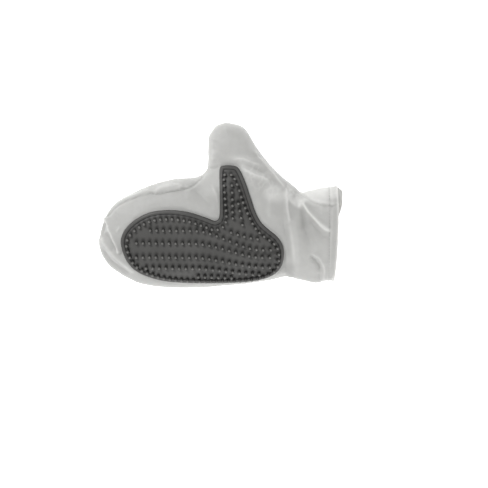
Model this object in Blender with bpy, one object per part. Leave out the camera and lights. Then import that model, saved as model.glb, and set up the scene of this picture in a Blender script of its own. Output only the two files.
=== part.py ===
"""Grooming glove: a sewn two-panel mitten with a bonded rubber pin pad, elastic wrist and open cuff.

The glove keeps the shape of the hand that fills it and lies on its back panel. +X runs to the cuff,
+Y to the thumb and +Z out of the palm. All the driving sizes below are in millimetres.
"""

import math

import bpy
import numpy as np
from mathutils import Vector
from mathutils.geometry import delaunay_2d_cdt

MM = 0.001

# cloth
WALL = 0.8
PLY_GAP = 0.3
SEAM_Z = 22.0
SEAM_ALLOWANCE = 5.0
HEM_ALLOWANCE = 1.5
CLOTH_GRID = 10.5
EDGE_STEP = 8.0
SEAM_RINGS = (2.6, 7.5)

# swell of each panel from the seam plane, at stations along the glove
STATION_X = (-120.0, -80.0, -25.0, 40.0, 74.0, 112.0)
PALM_RISE = (15.0, 20.0, 24.0, 23.0, 16.0, 23.0)
BACK_DROP = (11.0, 17.0, 23.0, 23.0, 15.5, 20.6)
BODY_SHOULDER = 34.0
THUMB_SHOULDER = 19.0
THUMB_PALM_RISE = 17.0
THUMB_BACK_DROP = 16.0
THUMB_BLEND_Y = (12.0, 44.0)
SWELL_POWER = 2.15

# folds
THUMB_FOLD_Y = 45.0
THUMB_FOLD_HALF = 4.2
THUMB_PIVOT_RISE = 10.0
WRIST_FOLD_X = 74.0
WRIST_FOLD_HALF = 6.0
FOLD_INSET = 0.9
RING_SEGMENTS = 40

# cuff
MOUTH_X = 113.2
BACK_MOUTH_EXTRA = 5.1
HEM_FROM_X = 102.6
HEM_TO_X = 108.8
HEM_INSET = 2.4
HEM_STITCH_X = 103.8
ELASTIC_WIDTH = 6.0
ELASTIC_THICK = 0.9

# thread
THREAD_R = 0.4
THREAD_SIDES = 5
THREAD_INSET = 3.0

# pad
GLUE_LIFT = 0.7
GLUE_THICK = 0.4
GLUE_INSET = 3.6
PAD_LIFT = 2.1
PAD_THICK = 2.0
PAD_EDGE_THICK = 1.3
PAD_BEVEL = 1.4
PAD_GRID = 8.0
PIN_BASE_R = 1.6
PIN_TIP_R = 1.15
PIN_HEIGHT = 3.8
PIN_PITCH = 6.4
PIN_MARGIN = 6.2
PIN_SIDES = 6

# Seam line from the upper corner of the mouth, round the thumb and fingertips, to its lower corner.
SEAM_LINE = (
    (113.2, 18.2), (99, 16.0), (87, 11.8), (77, 8.8), (66, 20.0), (51, 35.8), (41, 44.5),
    (34, 54.5), (27.5, 65.0), (21.5, 74.5), (13.5, 79.2), (4.5, 81.1), (-4.5, 76.8), (-10.8, 69.5),
    (-12.9, 57.5), (-13.2, 44.0), (-14.6, 33.5), (-24, 26.8), (-45, 24.2), (-69, 18.4),
    (-89, 10.2), (-105, -0.5), (-115.4, -15.5), (-119.6, -33.0), (-117.6, -49.0), (-109, -60.5),
    (-98, -68.0), (-84, -75.0), (-66, -79.4), (-44, -81.1), (-15, -80.9), (20, -77.6),
    (48, -73.4), (64, -70.8), (80, -73.2), (96, -77.0), (109.8, -74.6),
)
PAD_LINE = (
    (-98, -35.5), (-96.2, -26.4), (-91, -18.4), (-83, -11.6), (-71.5, -5.8), (-60, -3.2),
    (-46, -2.4), (-30, -4.4), (-14, -9.6), (-5.6, -12.6), (-1.6, -9.6), (-1.0, 0.0), (-1.0, 19.0),
    (-0.8, 37.0), (2.6, 41.2), (12.6, 41.2), (18.2, 37.4), (24, 24.0), (28.6, 10.0), (32.6, -4.0),
    (37, -15.0), (44, -22.0), (53, -27.6), (59, -36.0), (61, -46.0), (58.6, -57.0), (50, -65.4),
    (34, -70.4), (10, -72.4), (-21, -72.6), (-52, -71.2), (-71, -66.8), (-84, -60.4), (-93, -50.0),
)

# Lengthwise pin rows: height on the finger side, height on the heel side, first and last x.
PIN_ROWS = (
    (-14.5, -30.0, -3.0, 44.0),
    (-21.7, -40.6, -68.0, 56.0),
    (-34.2, -47.4, -88.0, 58.0),
    (-47.8, -56.4, -88.0, 58.0),
    (-57.8, -63.2, -76.0, 50.0),
    (-65.6, -67.6, -30.0, 40.0),
)
ROW_BEND_X = (-27.0, 40.0)
THUMB_COLUMNS = (((10.8, 27.0), (11.4, -9.5)), ((15.6, 11.5), (20.8, -16.0)))


# ---------------------------------------------------------------- plane curves

def spline(points, closed, step):
    """Catmull-Rom curve through the points, cut into near-equal steps."""
    pts = np.array(points, float)
    if closed:
        pts = np.vstack([pts[-1], pts, pts[:2]])
    else:
        pts = np.vstack([2 * pts[0] - pts[1], pts, 2 * pts[-1] - pts[-2]])
    fine = []
    for a, b, c, d in zip(pts[:-3], pts[1:-2], pts[2:-1], pts[3:]):
        for t in np.linspace(0, 1, 12, endpoint=False):
            fine.append(0.5 * (2 * b + (c - a) * t + (2 * a - 5 * b + 4 * c - d) * t * t
                               + (3 * b - a - 3 * c + d) * t ** 3))
    fine.append(pts[-2])
    return resample(np.array(fine), step)


def resample(line, step):
    run = np.concatenate([[0], np.cumsum(np.linalg.norm(np.diff(line, axis=0), axis=1))])
    count = max(2, int(round(run[-1] / step)) + 1)
    at = np.linspace(0, run[-1], count)
    return np.stack([np.interp(at, run, line[:, k]) for k in range(2)], axis=1)


def distance_to(line, points):
    """Shortest distance from each point to the polyline."""
    a, b = line[:-1], line[1:]
    span = b - a
    offset = points[:, None, :] - a[None]
    share = np.clip((offset * span).sum(-1) / (span * span).sum(-1), 0, 1)
    return np.linalg.norm(offset - share[..., None] * span, axis=-1).min(axis=1)


def inside(loop, points):
    x, y = points[:, 0], points[:, 1]
    hit = np.zeros(len(points), bool)
    for (x1, y1), (x2, y2) in zip(loop, np.roll(loop, -1, axis=0)):
        crosses = (y1 > y) != (y2 > y)
        hit ^= crosses & (x < (x2 - x1) * (y - y1) / (y2 - y1 + 1e-12) + x1)
    return hit


def clip(loop, axis, limit, keep_low):
    """The part of a closed loop on one side of an axis-aligned line, without slivers at the cut."""
    out = []
    sign = 1 if keep_low else -1
    for p, q in zip(loop, np.roll(loop, -1, axis=0)):
        dp, dq = sign * (p[axis] - limit), sign * (q[axis] - limit)
        if dp <= -1.2:
            out.append(p)
        if dp * dq < 0:
            out.append(p + (q - p) * dp / (dp - dq))
    return np.array(out)


def thin_out(loop, least):
    """Drops points closer than the least spacing to the one kept before them."""
    kept = [loop[0]]
    for p in loop[1:]:
        if np.linalg.norm(p - kept[-1]) >= least:
            kept.append(p)
    if np.linalg.norm(kept[-1] - kept[0]) < least:
        kept.pop()
    return np.array(kept)


def graded(line):
    """Points along a cut line, close together near the seam at both ends."""
    run = np.concatenate([[0], np.cumsum(np.linalg.norm(np.diff(line, axis=0), axis=1))])
    near = [0.0, *SEAM_RINGS]
    parts = max(1, int(round((run[-1] - 2 * near[-1]) / EDGE_STEP)))
    middle = np.linspace(near[-1], run[-1] - near[-1], parts + 1)
    at = np.concatenate([near[:-1], middle, run[-1] - np.array(near[-2::-1])])
    return np.stack([np.interp(at, run, line[:, k]) for k in range(2)], axis=1)


def graded_cuts(loop):
    """The loop with each stretch that leaves the seam line graded."""
    middle = (loop + np.roll(loop, -1, axis=0)) / 2
    off = distance_to(SEAM, middle) > 0.8
    first = next(i for i in range(len(loop)) if not off[i] and off[i - 1])
    loop, off = np.roll(loop, -first, axis=0), np.roll(off, -first)
    out, i = [], 0
    while i < len(loop):
        if not off[i]:
            out.append(loop[i])
            i += 1
            continue
        stretch = [loop[i]]
        while i < len(loop) and off[i]:
            i += 1
            stretch.append(loop[i % len(loop)])
        out.extend(graded(np.array(stretch))[:-1])
    return np.array(out)


def smoothstep(low, high, value):
    t = np.clip((value - low) / (high - low), 0, 1)
    return t * t * (3 - 2 * t)


SEAM = spline(SEAM_LINE, False, 2.0)
SEAM_COARSE = spline(SEAM_LINE, False, EDGE_STEP)
PAD_OUTLINE = spline(PAD_LINE, True, 2.0)[::-1]


# ---------------------------------------------------------------- swell of the cloth

def along(stations, x):
    """Smooth value along the glove from the station values."""
    value = np.full(np.shape(x), float(stations[0]))
    for x0, x1, v0, v1 in zip(STATION_X, STATION_X[1:], stations, stations[1:]):
        value = value + (v1 - v0) * smoothstep(x0, x1, x)
    return value


def swell(points, stations, thumb):
    depth = distance_to(SEAM, points)
    on_thumb = smoothstep(*THUMB_BLEND_Y, points[:, 1])
    shoulder = BODY_SHOULDER + (THUMB_SHOULDER - BODY_SHOULDER) * on_thumb
    height = along(stations, points[:, 0])
    height = height + (thumb - height) * on_thumb
    share = np.clip(depth / shoulder, 0, 1)
    return height * (1 - (1 - share) ** SWELL_POWER) ** (1 / SWELL_POWER)


def palm_z(points):
    return SEAM_Z + PLY_GAP / 2 + swell(points, PALM_RISE, THUMB_PALM_RISE)


def back_z(points):
    return np.maximum(SEAM_Z - PLY_GAP / 2 - swell(points, BACK_DROP, THUMB_BACK_DROP), 0)


def outward(points, height, side):
    """Unit normals of a panel, side +1 for the palm and -1 for the back."""
    e = 0.6
    dx = (height(points + [e, 0]) - height(points - [e, 0])) / (2 * e)
    dy = (height(points + [0, e]) - height(points - [0, e])) / (2 * e)
    n = np.stack([-dx, -dy, np.ones(len(points))], axis=1) * side
    return n / np.linalg.norm(n, axis=1)[:, None]


def lifted(points, height, side, lift):
    base = np.column_stack([points, height(points)])
    return base + outward(points, height, side) * lift


# ---------------------------------------------------------------- meshes

def material(name, colour, roughness, sheen=0.0):
    mat = bpy.data.materials.new(name)
    mat.use_nodes = True
    bsdf = mat.node_tree.nodes["Principled BSDF"]
    bsdf.inputs["Base Color"].default_value = (*colour, 1)
    bsdf.inputs["Roughness"].default_value = roughness
    bsdf.inputs["Metallic"].default_value = 0.0
    bsdf.inputs["Sheen Weight"].default_value = sheen
    mat.diffuse_color = (*colour, 1)
    return mat


def node(name, points, faces, mat, pivot=(0, 0, 0), smooth=False):
    """Adds one closed body with its origin on the pivot. Points are in millimetres."""
    points = np.array(points, float)
    faces = [tuple(int(i) for i in f) for f in faces]
    volume = 0.0
    for f in faces:
        for k in range(1, len(f) - 1):
            volume += np.dot(points[f[0]], np.cross(points[f[k]], points[f[k + 1]]))
    if volume < 0:
        faces = [f[::-1] for f in faces]
    mesh = bpy.data.meshes.new(name)
    mesh.from_pydata([tuple((p - pivot) * MM) for p in points], [], faces)
    mesh.materials.append(mat)
    mesh.polygons.foreach_set("use_smooth", [smooth] * len(mesh.polygons))
    mesh.update()
    obj = bpy.data.objects.new(name, mesh)
    obj.location = Vector(pivot) * MM
    bpy.context.scene.collection.objects.link(obj)
    return obj


def triangulate(loop, extra, holes=()):
    """Constrained triangles inside the loop. The loop's points come first in the result."""
    points = [Vector(p) for p in loop]
    edges = [(i, (i + 1) % len(loop)) for i in range(len(loop))]
    for hole in holes:
        first = len(points)
        points.extend(Vector(p) for p in hole)
        edges.extend((first + i, first + (i + 1) % len(hole)) for i in range(len(hole)))
    points.extend(Vector(p) for p in extra)
    co, _, faces, _, _, _ = delaunay_2d_cdt(points, edges, [], 0, 1e-5)
    co = np.array([tuple(c) for c in co])
    middle = np.array([co[list(f)].mean(axis=0) for f in faces])
    keep = inside(np.array(loop), middle)
    for hole in holes:
        keep &= ~inside(np.array(hole), middle)
    used = [tuple(f) for f, k in zip(faces, keep) if k]
    turned = []
    for a, b, c in used:
        u, v = co[b] - co[a], co[c] - co[a]
        turned.append((a, b, c) if u[0] * v[1] - u[1] * v[0] > 0 else (a, c, b))
    return co, turned


def grid_inside(loop, step, margin, hold_off=None):
    """Staggered grid points further than the margin from the loop."""
    low, high = loop.min(axis=0), loop.max(axis=0)
    rows = int((high[1] - low[1]) / (step * 0.87)) + 1
    out = []
    for r in range(rows):
        y = low[1] + (r + 0.5) * (high[1] - low[1]) / rows
        x = low[0] + step * (0.25 + 0.5 * (r % 2))
        while x < high[0]:
            out.append((x, y))
            x += step
    out = np.array(out)
    ring = np.vstack([loop, loop[:1]])
    good = inside(loop, out) & (distance_to(ring, out) > margin)
    if hold_off is not None:
        good &= np.linalg.norm(out[:, None] - hold_off[None], axis=-1).min(axis=1) > step * 0.45
    return out[good]


def contour_ring(depth, loop):
    """Points at one depth inside the seam line, within the loop."""
    line = SEAM_COARSE
    tangent = np.gradient(line, axis=0)
    tangent /= np.linalg.norm(tangent, axis=1)[:, None]
    inner = line + depth * np.column_stack([-tangent[:, 1], tangent[:, 0]])
    ring = np.vstack([loop, loop[:1]])
    good = inside(loop, inner) & (distance_to(SEAM, inner) > 0.9 * depth)
    good &= distance_to(ring, inner) > 0.6 * depth
    return inner[good]


def panel(name, loop, height, side, mat, pivot):
    """One cloth panel as a closed shell with its turned-in seam allowance."""
    loop = graded_cuts(loop)
    rings = np.vstack([contour_ring(depth, loop) for depth in SEAM_RINGS])
    extra = np.vstack([rings, grid_inside(loop, CLOTH_GRID, 5.0, rings)])
    co, faces = triangulate(loop, extra)
    count, edge = len(co), len(loop)
    sewn = distance_to(SEAM, loop) < 1.0
    ahead = np.roll(loop, -1, axis=0) - np.roll(loop, 1, axis=0)
    for i in np.flatnonzero(sewn):
        if not sewn[(i + 1) % edge]:
            ahead[i] = loop[i] - loop[i - 1]
        elif not sewn[i - 1]:
            ahead[i] = loop[(i + 1) % edge] - loop[i]
    ahead /= np.linalg.norm(ahead, axis=1)[:, None]
    inward = np.column_stack([-ahead[:, 1], ahead[:, 0]])
    # a cut line is straight, so the allowance beside it stays in its plane
    for i in np.flatnonzero(sewn):
        for j in ((i + 1) % edge, i - 1):
            if not sewn[j]:
                along_cut = loop[j] - loop[i]
                along_cut /= np.linalg.norm(along_cut)
                inward[i] = along_cut
    outer = np.column_stack([co, height(co)])
    inner = lifted(co, height, side, -WALL)
    plane = SEAM_Z + side * PLY_GAP / 2
    for i in range(edge):
        if sewn[i]:
            outer[i] = (*loop[i], plane)
            inner[i] = (*(loop[i] + inward[i] * WALL), plane + side * WALL)
    cuts = [i for i in range(edge) if not sewn[i]]
    for i in cuts:
        inner[i, :2] = loop[i]
        inner[i, 2] = outer[i, 2] - side * WALL
    points = list(outer) + list(inner)
    low, high = {}, {}
    for i in np.flatnonzero(sewn):
        width = HEM_ALLOWANCE if loop[i, 0] > HEM_FROM_X - EDGE_STEP else SEAM_ALLOWANCE
        foot = loop[i] + inward[i] * width
        low[i] = len(points)
        points.append((*foot, plane))
        high[i] = len(points)
        points.append((*foot, plane + side * WALL))
    all_faces = list(faces) + [(a + count, c + count, b + count) for a, b, c in faces]
    for i in range(edge):
        j = (i + 1) % edge
        if sewn[i] and sewn[j]:
            profile_i = (i, low[i], high[i], i + count)
            profile_j = (j, low[j], high[j], j + count)
            for a, b in zip(range(3), range(1, 4)):
                all_faces.append((profile_i[a], profile_i[b], profile_j[b], profile_j[a]))
        else:
            all_faces.append((i, i + count, j + count, j))
            for k, last in ((i, sewn[i]), (j, sewn[j])):
                if last:
                    cap = (k, low[k], high[k], k + count)
                    all_faces.append(cap if k == i else cap[::-1])
    return node(name, points, all_faces, mat, pivot)


def section(axis, at, inset):
    """Closed ring of points round the glove where a plane crosses it, drawn in by the inset."""
    loop = np.vstack([SEAM, SEAM[:1]])
    hits = []
    for p, q in zip(loop, loop[1:]):
        if (p[axis] - at) * (q[axis] - at) <= 0 and p[axis] != q[axis]:
            hits.append(p[1 - axis] + (q - p)[1 - axis] * (at - p[axis]) / (q - p)[axis])
    low, high = min(hits), max(hits)
    ring = []
    for k in range(RING_SEGMENTS):
        angle = 2 * math.pi * (k + 0.5) / RING_SEGMENTS
        across = (low + high) / 2 - math.cos(angle) * (high - low) / 2 * 0.999
        point = np.zeros((1, 2))
        point[0, axis], point[0, 1 - axis] = at, across
        height = palm_z if math.sin(angle) > 0 else back_z
        ring.append((across, height(point)[0]))
    ring = np.array(ring)
    ahead = np.roll(ring, -1, axis=0) - np.roll(ring, 1, axis=0)
    ahead /= np.linalg.norm(ahead, axis=1)[:, None]
    ring += inset * np.column_stack([ahead[:, 1], -ahead[:, 0]])
    out = np.zeros((RING_SEGMENTS, 3))
    out[:, axis], out[:, 1 - axis], out[:, 2] = at, ring[:, 0], ring[:, 1]
    return out


def band(name, axis, stations, wall, mat, pivot):
    """Closed cloth ring between stations, each (position, inset)."""
    rings = [section(axis, at, inset) for at, inset in stations]
    rings += [section(axis, at, inset + wall) for at, inset in reversed(stations)]
    points = np.vstack(rings)
    faces = []
    for r in range(len(rings)):
        s = (r + 1) % len(rings)
        for k in range(RING_SEGMENTS):
            m = (k + 1) % RING_SEGMENTS
            a, b = r * RING_SEGMENTS, s * RING_SEGMENTS
            faces.append((a + k, a + m, b + m, b + k))
    return node(name, points, faces, mat, pivot, smooth=True)


def tube(name, path, radius, closed, mat, pivot):
    """Round thread along a path of points, as one closed body."""
    path = np.array(path, float)
    if closed:
        ahead = np.roll(path, -1, axis=0) - np.roll(path, 1, axis=0)
    else:
        ahead = np.gradient(path, axis=0)
    ahead /= np.linalg.norm(ahead, axis=1)[:, None]
    up = np.array([0.0, 0.0, 1.0]) if abs(ahead[:, 2]).max() < 0.9 else np.array([1.0, 0, 0])
    points = []
    for p, t in zip(path, ahead):
        s = np.cross(t, up)
        s /= np.linalg.norm(s)
        v = np.cross(s, t)
        for k in range(THREAD_SIDES):
            a = 2 * math.pi * k / THREAD_SIDES
            points.append(p + radius * (math.cos(a) * s + math.sin(a) * v))
    faces = []
    count = len(path)
    for i in range(count if closed else count - 1):
        j = (i + 1) % count
        for k in range(THREAD_SIDES):
            m = (k + 1) % THREAD_SIDES
            a, b = i * THREAD_SIDES, j * THREAD_SIDES
            faces.append((a + k, a + m, b + m, b + k))
    if not closed:
        faces.append(tuple(range(THREAD_SIDES))[::-1])
        faces.append(tuple((count - 1) * THREAD_SIDES + k for k in range(THREAD_SIDES)))
    return node(name, points, faces, mat, pivot, smooth=True)


# ---------------------------------------------------------------- the pieces

def seam_threads(mat, thumb_pivot, wrist_pivot):
    """Lock-stitch thread inside the seam allowance, one run for each stretch between the folds."""
    tangent = np.gradient(SEAM, axis=0)
    tangent /= np.linalg.norm(tangent, axis=1)[:, None]
    line = SEAM + THREAD_INSET * np.column_stack([-tangent[:, 1], tangent[:, 0]])
    past_wrist = WRIST_FOLD_HALF + 1.5
    past_thumb = THUMB_FOLD_HALF + 1.5
    zone = np.full(len(line), "", dtype=object)
    zone[(line[:, 0] > WRIST_FOLD_X + past_wrist) & (line[:, 0] < HEM_FROM_X - 3)] = "cuff"
    zone[line[:, 1] > THUMB_FOLD_Y + past_thumb] = "thumb"
    hand = (line[:, 0] < WRIST_FOLD_X - past_wrist) & (line[:, 1] < THUMB_FOLD_Y - past_thumb)
    zone[hand] = "hand"
    starts = [i for i in range(len(zone)) if zone[i] and (i == 0 or zone[i - 1] != zone[i])]
    names = ("cuff_upper", "heel", "thumb", "fingers", "cuff_lower")
    pivots = {"cuff": wrist_pivot, "thumb": thumb_pivot, "hand": (0, 0, 0)}
    z = SEAM_Z + PLY_GAP / 2 + WALL + 0.3 + THREAD_R
    for name, start in zip(names, starts):
        end = start
        while end < len(zone) and zone[end] == zone[start]:
            end += 1
        run = resample(line[start:end], 6.0)
        path = np.column_stack([run, np.full(len(run), z)])
        tube("seam_thread_" + name, path, THREAD_R, False, mat, pivots[zone[start]])


def pin_places():
    """Perimeter row, lengthwise rows and thumb columns of the pins."""
    outline = PAD_OUTLINE[:-1]
    tangent = np.roll(outline, -1, axis=0) - np.roll(outline, 1, axis=0)
    tangent /= np.linalg.norm(tangent, axis=1)[:, None]
    inward = np.column_stack([-tangent[:, 1], tangent[:, 0]])
    tilt = outward(outline + inward * 3, palm_z, 1)[:, 2]
    shift = PIN_MARGIN * np.clip(tilt, 0.5, 1)
    row = outline + inward * shift[:, None]
    row = row[distance_to(PAD_OUTLINE, row) > 0.93 * shift]
    row = resample(np.vstack([row, row[:1]]), PIN_PITCH)[:-1]
    places = list(row)
    for left, right, first, last in PIN_ROWS:
        x = np.arange(first, last, PIN_PITCH)
        y = left + (right - left) * smoothstep(*ROW_BEND_X, x)
        places += [np.array(p) for p in zip(x, y) if clear_of(p, places, row)]
    for start, end in THUMB_COLUMNS:
        start, end = np.array(start), np.array(end)
        count = int(np.linalg.norm(end - start) / PIN_PITCH)
        for k in range(count + 1):
            p = start + (end - start) * k / count
            if clear_of(p, places, row):
                places.append(p)
    return np.array(places)


def clear_of(p, places, row):
    gaps = np.linalg.norm(np.array(places) - np.array(p), axis=1)
    return gaps.min() > 4.9 and inside(row, np.array([p]))[0]


def brush_pad(mat):
    """Rubber pad moulded in one with its pins."""
    outline = thin_out(PAD_OUTLINE[:-1], 3.6)
    tangent = np.roll(outline, -1, axis=0) - np.roll(outline, 1, axis=0)
    tangent /= np.linalg.norm(tangent, axis=1)[:, None]
    shoulder = outline + PAD_BEVEL * np.column_stack([-tangent[:, 1], tangent[:, 0]])
    pins = pin_places()
    turns = [2 * math.pi * (k + 0.5) / PIN_SIDES for k in range(PIN_SIDES)]
    circle = np.array([(math.cos(a), math.sin(a)) for a in turns])
    holes = [p + PIN_BASE_R * circle for p in pins]
    fill = grid_inside(shoulder, PAD_GRID, 3.0, pins)
    co, faces = triangulate(shoulder, fill, holes)
    top = lifted(co, palm_z, 1, PAD_LIFT + PAD_THICK)
    points = list(top)
    all_faces = list(faces)
    edge = len(outline)
    rim = len(points)
    points.extend(lifted(outline, palm_z, 1, PAD_LIFT + PAD_EDGE_THICK))
    under = grid_inside(outline, PAD_GRID, 3.5)
    low_co, low_faces = triangulate(outline, under)
    foot = len(points)
    points.extend(lifted(low_co, palm_z, 1, PAD_LIFT))
    all_faces += [(a + foot, c + foot, b + foot) for a, b, c in low_faces]
    for i in range(edge):
        j = (i + 1) % edge
        all_faces.append((i, rim + i, rim + j, j))
        all_faces.append((rim + i, foot + i, foot + j, rim + j))
    ups = outward(pins, palm_z, 1)
    for number, (p, up) in enumerate(zip(pins, ups)):
        base = edge + number * PIN_SIDES
        tip = len(points)
        for c in circle:
            ground = lifted(np.array([p + PIN_TIP_R * c]), palm_z, 1, PAD_LIFT + PAD_THICK)[0]
            points.append(ground + up * PIN_HEIGHT)
        for k in range(PIN_SIDES):
            m = (k + 1) % PIN_SIDES
            all_faces.append((base + k, base + m, tip + m, tip + k))
        all_faces.append(tuple(tip + k for k in range(PIN_SIDES)))
    return node("brush_pad", points, all_faces, mat)


def pad_adhesive(mat):
    outline = thin_out(PAD_OUTLINE[:-1], 4.5)
    tangent = np.roll(outline, -1, axis=0) - np.roll(outline, 1, axis=0)
    tangent /= np.linalg.norm(tangent, axis=1)[:, None]
    loop = outline + GLUE_INSET * np.column_stack([-tangent[:, 1], tangent[:, 0]])
    co, faces = triangulate(loop, grid_inside(loop, PAD_GRID, 3.5))
    count, edge = len(co), len(loop)
    points = list(lifted(co, palm_z, 1, GLUE_LIFT + GLUE_THICK))
    points += list(lifted(co, palm_z, 1, GLUE_LIFT))
    all_faces = list(faces) + [(a + count, c + count, b + count) for a, b, c in faces]
    for i in range(edge):
        j = (i + 1) % edge
        all_faces.append((i, i + count, j + count, j))
    return node("pad_adhesive", points, all_faces, mat)


def build():
    for obj in list(bpy.data.objects):
        bpy.data.objects.remove(obj, do_unlink=True)
    cloth = material("coated_nylon_palm", (0.50, 0.50, 0.485), 0.38, 0.2)
    cloth_back = material("coated_nylon_back", (0.48, 0.48, 0.47), 0.42, 0.2)
    rubber = material("grey_rubber", (0.082, 0.08, 0.078), 0.55)
    glue = material("clear_adhesive", (0.55, 0.53, 0.47), 0.3)
    elastic = material("white_elastic", (0.62, 0.62, 0.6), 0.8)
    thread = material("grey_thread", (0.44, 0.44, 0.43), 0.7)

    mouth = np.array([(109.8, -74.6), (111.6, -56.0), (113.4, -25.0), (114.2, 0.0), (113.2, 18.2)])
    back_mouth = mouth + np.column_stack([
        BACK_MOUTH_EXTRA * smoothstep(-80, -10, mouth[:, 1]) * smoothstep(18.3, 6, mouth[:, 1]),
        np.zeros(len(mouth))])
    thumb_pivot = (18.0, THUMB_FOLD_Y, SEAM_Z + THUMB_PIVOT_RISE)
    wrist_pivot = (WRIST_FOLD_X, -31.0, SEAM_Z)
    for face, height, side, edge_line, mat in (
        ("palm", palm_z, 1, mouth, cloth), ("back", back_z, -1, back_mouth, cloth_back)):
        edge_line = resample(spline(edge_line, False, 2.0), EDGE_STEP)
        loop = np.vstack([spline(SEAM_LINE, False, EDGE_STEP * 0.8), edge_line[1:-1]])
        low_x, high_x = WRIST_FOLD_X - WRIST_FOLD_HALF, WRIST_FOLD_X + WRIST_FOLD_HALF
        low_y, high_y = THUMB_FOLD_Y - THUMB_FOLD_HALF, THUMB_FOLD_Y + THUMB_FOLD_HALF
        hand = clip(clip(loop, 1, low_y, True), 0, low_x, True)
        panel(face + "_panel", hand, height, side, mat, (0, 0, 0))
        panel(face + "_panel_thumb", clip(loop, 1, high_y, False), height, side, mat, thumb_pivot)
        panel(face + "_panel_cuff", clip(loop, 0, high_x, False), height, side, mat, wrist_pivot)

    y0, y1 = THUMB_FOLD_Y - THUMB_FOLD_HALF + 0.35, THUMB_FOLD_Y + THUMB_FOLD_HALF - 0.35
    band("thumb_fold", 1, ((y0, 0.0), (THUMB_FOLD_Y, FOLD_INSET), (y1, 0.0)), WALL, cloth, thumb_pivot)
    x0, x1 = WRIST_FOLD_X - WRIST_FOLD_HALF + 0.35, WRIST_FOLD_X + WRIST_FOLD_HALF - 0.35
    band("wrist_gather", 0, ((x0, 0.0), (WRIST_FOLD_X, 2 * FOLD_INSET), (x1, 0.0)), WALL, cloth,
         wrist_pivot)
    half = ELASTIC_WIDTH / 2 - 1.0
    inset = 2 * FOLD_INSET + WALL + 0.5
    band("wrist_elastic", 0, ((WRIST_FOLD_X - half, inset), (WRIST_FOLD_X + half, inset)),
         ELASTIC_THICK, elastic, wrist_pivot)
    band("cuff_hem", 0, ((HEM_FROM_X, HEM_INSET), (HEM_TO_X, HEM_INSET)), WALL, cloth, wrist_pivot)
    stitch = section(0, HEM_STITCH_X, -(THREAD_R + 0.3))
    tube("hem_stitching", stitch, THREAD_R, True, thread, wrist_pivot)

    seam_threads(thread, thumb_pivot, wrist_pivot)
    pad_adhesive(glue)
    brush_pad(rubber)


build()
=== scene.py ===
# %% [markdown]
# # A grooming glove
# A mitten of thin coated nylon, sewn from a palm panel and a back panel, with a moulded rubber pad of
# pins bonded to the palm. The glove keeps the shape of a hand and lies on its back, so we look into the
# palm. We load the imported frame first, because each piece made here has to move with one of its bodies.

import math

import bpy
import numpy as np
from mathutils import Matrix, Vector, noise
from mathutils.bvhtree import BVHTree
from mathutils.geometry import delaunay_2d_cdt


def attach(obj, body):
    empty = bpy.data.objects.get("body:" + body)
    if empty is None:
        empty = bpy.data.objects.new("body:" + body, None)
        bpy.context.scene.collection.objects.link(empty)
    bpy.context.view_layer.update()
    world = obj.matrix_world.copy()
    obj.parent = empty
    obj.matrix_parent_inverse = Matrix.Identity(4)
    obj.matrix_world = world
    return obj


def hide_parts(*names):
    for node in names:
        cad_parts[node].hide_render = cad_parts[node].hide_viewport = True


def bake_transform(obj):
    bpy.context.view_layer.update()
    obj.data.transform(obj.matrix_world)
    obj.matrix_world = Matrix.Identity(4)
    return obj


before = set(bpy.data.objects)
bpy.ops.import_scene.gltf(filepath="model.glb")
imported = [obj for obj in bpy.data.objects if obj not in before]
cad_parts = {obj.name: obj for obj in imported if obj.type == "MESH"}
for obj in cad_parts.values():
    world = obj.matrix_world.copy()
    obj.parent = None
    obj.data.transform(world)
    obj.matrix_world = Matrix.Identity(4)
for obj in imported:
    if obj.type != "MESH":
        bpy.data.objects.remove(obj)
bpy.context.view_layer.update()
MM = 0.001

# %% [markdown]
# ## The camera and the light
# The glove is seen almost straight down, from a little beyond its thumb. A long lens keeps the outline
# true. A key lamp from the upper left models the folds, a weaker one fills the lower side, and a third
# one shines into the mouth of the cuff. A bright surround fills the shadows.

# %% Camera
LOOK_AT = Vector((0.0225, -0.0382, 0.022))
FIELD_WIDTH = 0.4782
CAMERA_DISTANCE = 2.0
CAMERA_TILT = math.radians(7)
SENSOR_WIDTH = 36

camera_data = bpy.data.cameras.new("camera")
camera_data.sensor_width = SENSOR_WIDTH
camera_data.lens = SENSOR_WIDTH * CAMERA_DISTANCE / FIELD_WIDTH
camera = bpy.data.objects.new("camera", camera_data)
camera.location = LOOK_AT + CAMERA_DISTANCE * Vector((0, math.sin(CAMERA_TILT), math.cos(CAMERA_TILT)))
camera.rotation_euler = (-CAMERA_TILT, 0, 0)
bpy.context.scene.collection.objects.link(camera)
bpy.context.scene.camera = camera
print("lens", round(camera_data.lens, 1))


# %% Lamps, surround and floor
def area_lamp(name, place, size, power):
    data = bpy.data.lights.new(name, "AREA")
    data.shape, data.size, data.energy = "DISK", size, power
    lamp = bpy.data.objects.new(name, data)
    lamp.location = place
    lamp.rotation_euler = (LOOK_AT - Vector(place)).to_track_quat("-Z", "Y").to_euler()
    bpy.context.scene.collection.objects.link(lamp)


area_lamp("key", (-0.75, 0.95, 1.25), 0.35, 16)
area_lamp("fill", (-0.3, -1.4, 1.1), 0.8, 9)
area_lamp("mouth", (1.3, -0.9, 0.55), 0.4, 8)

SURROUND_STRENGTH = 0.32
world = bpy.data.worlds.new("surround")
world.use_nodes = True
world.node_tree.nodes["Background"].inputs["Color"].default_value = (1, 1, 1, 1)
world.node_tree.nodes["Background"].inputs["Strength"].default_value = SURROUND_STRENGTH
bpy.context.scene.world = world
bpy.context.scene.view_settings.view_transform = "Standard"

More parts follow.
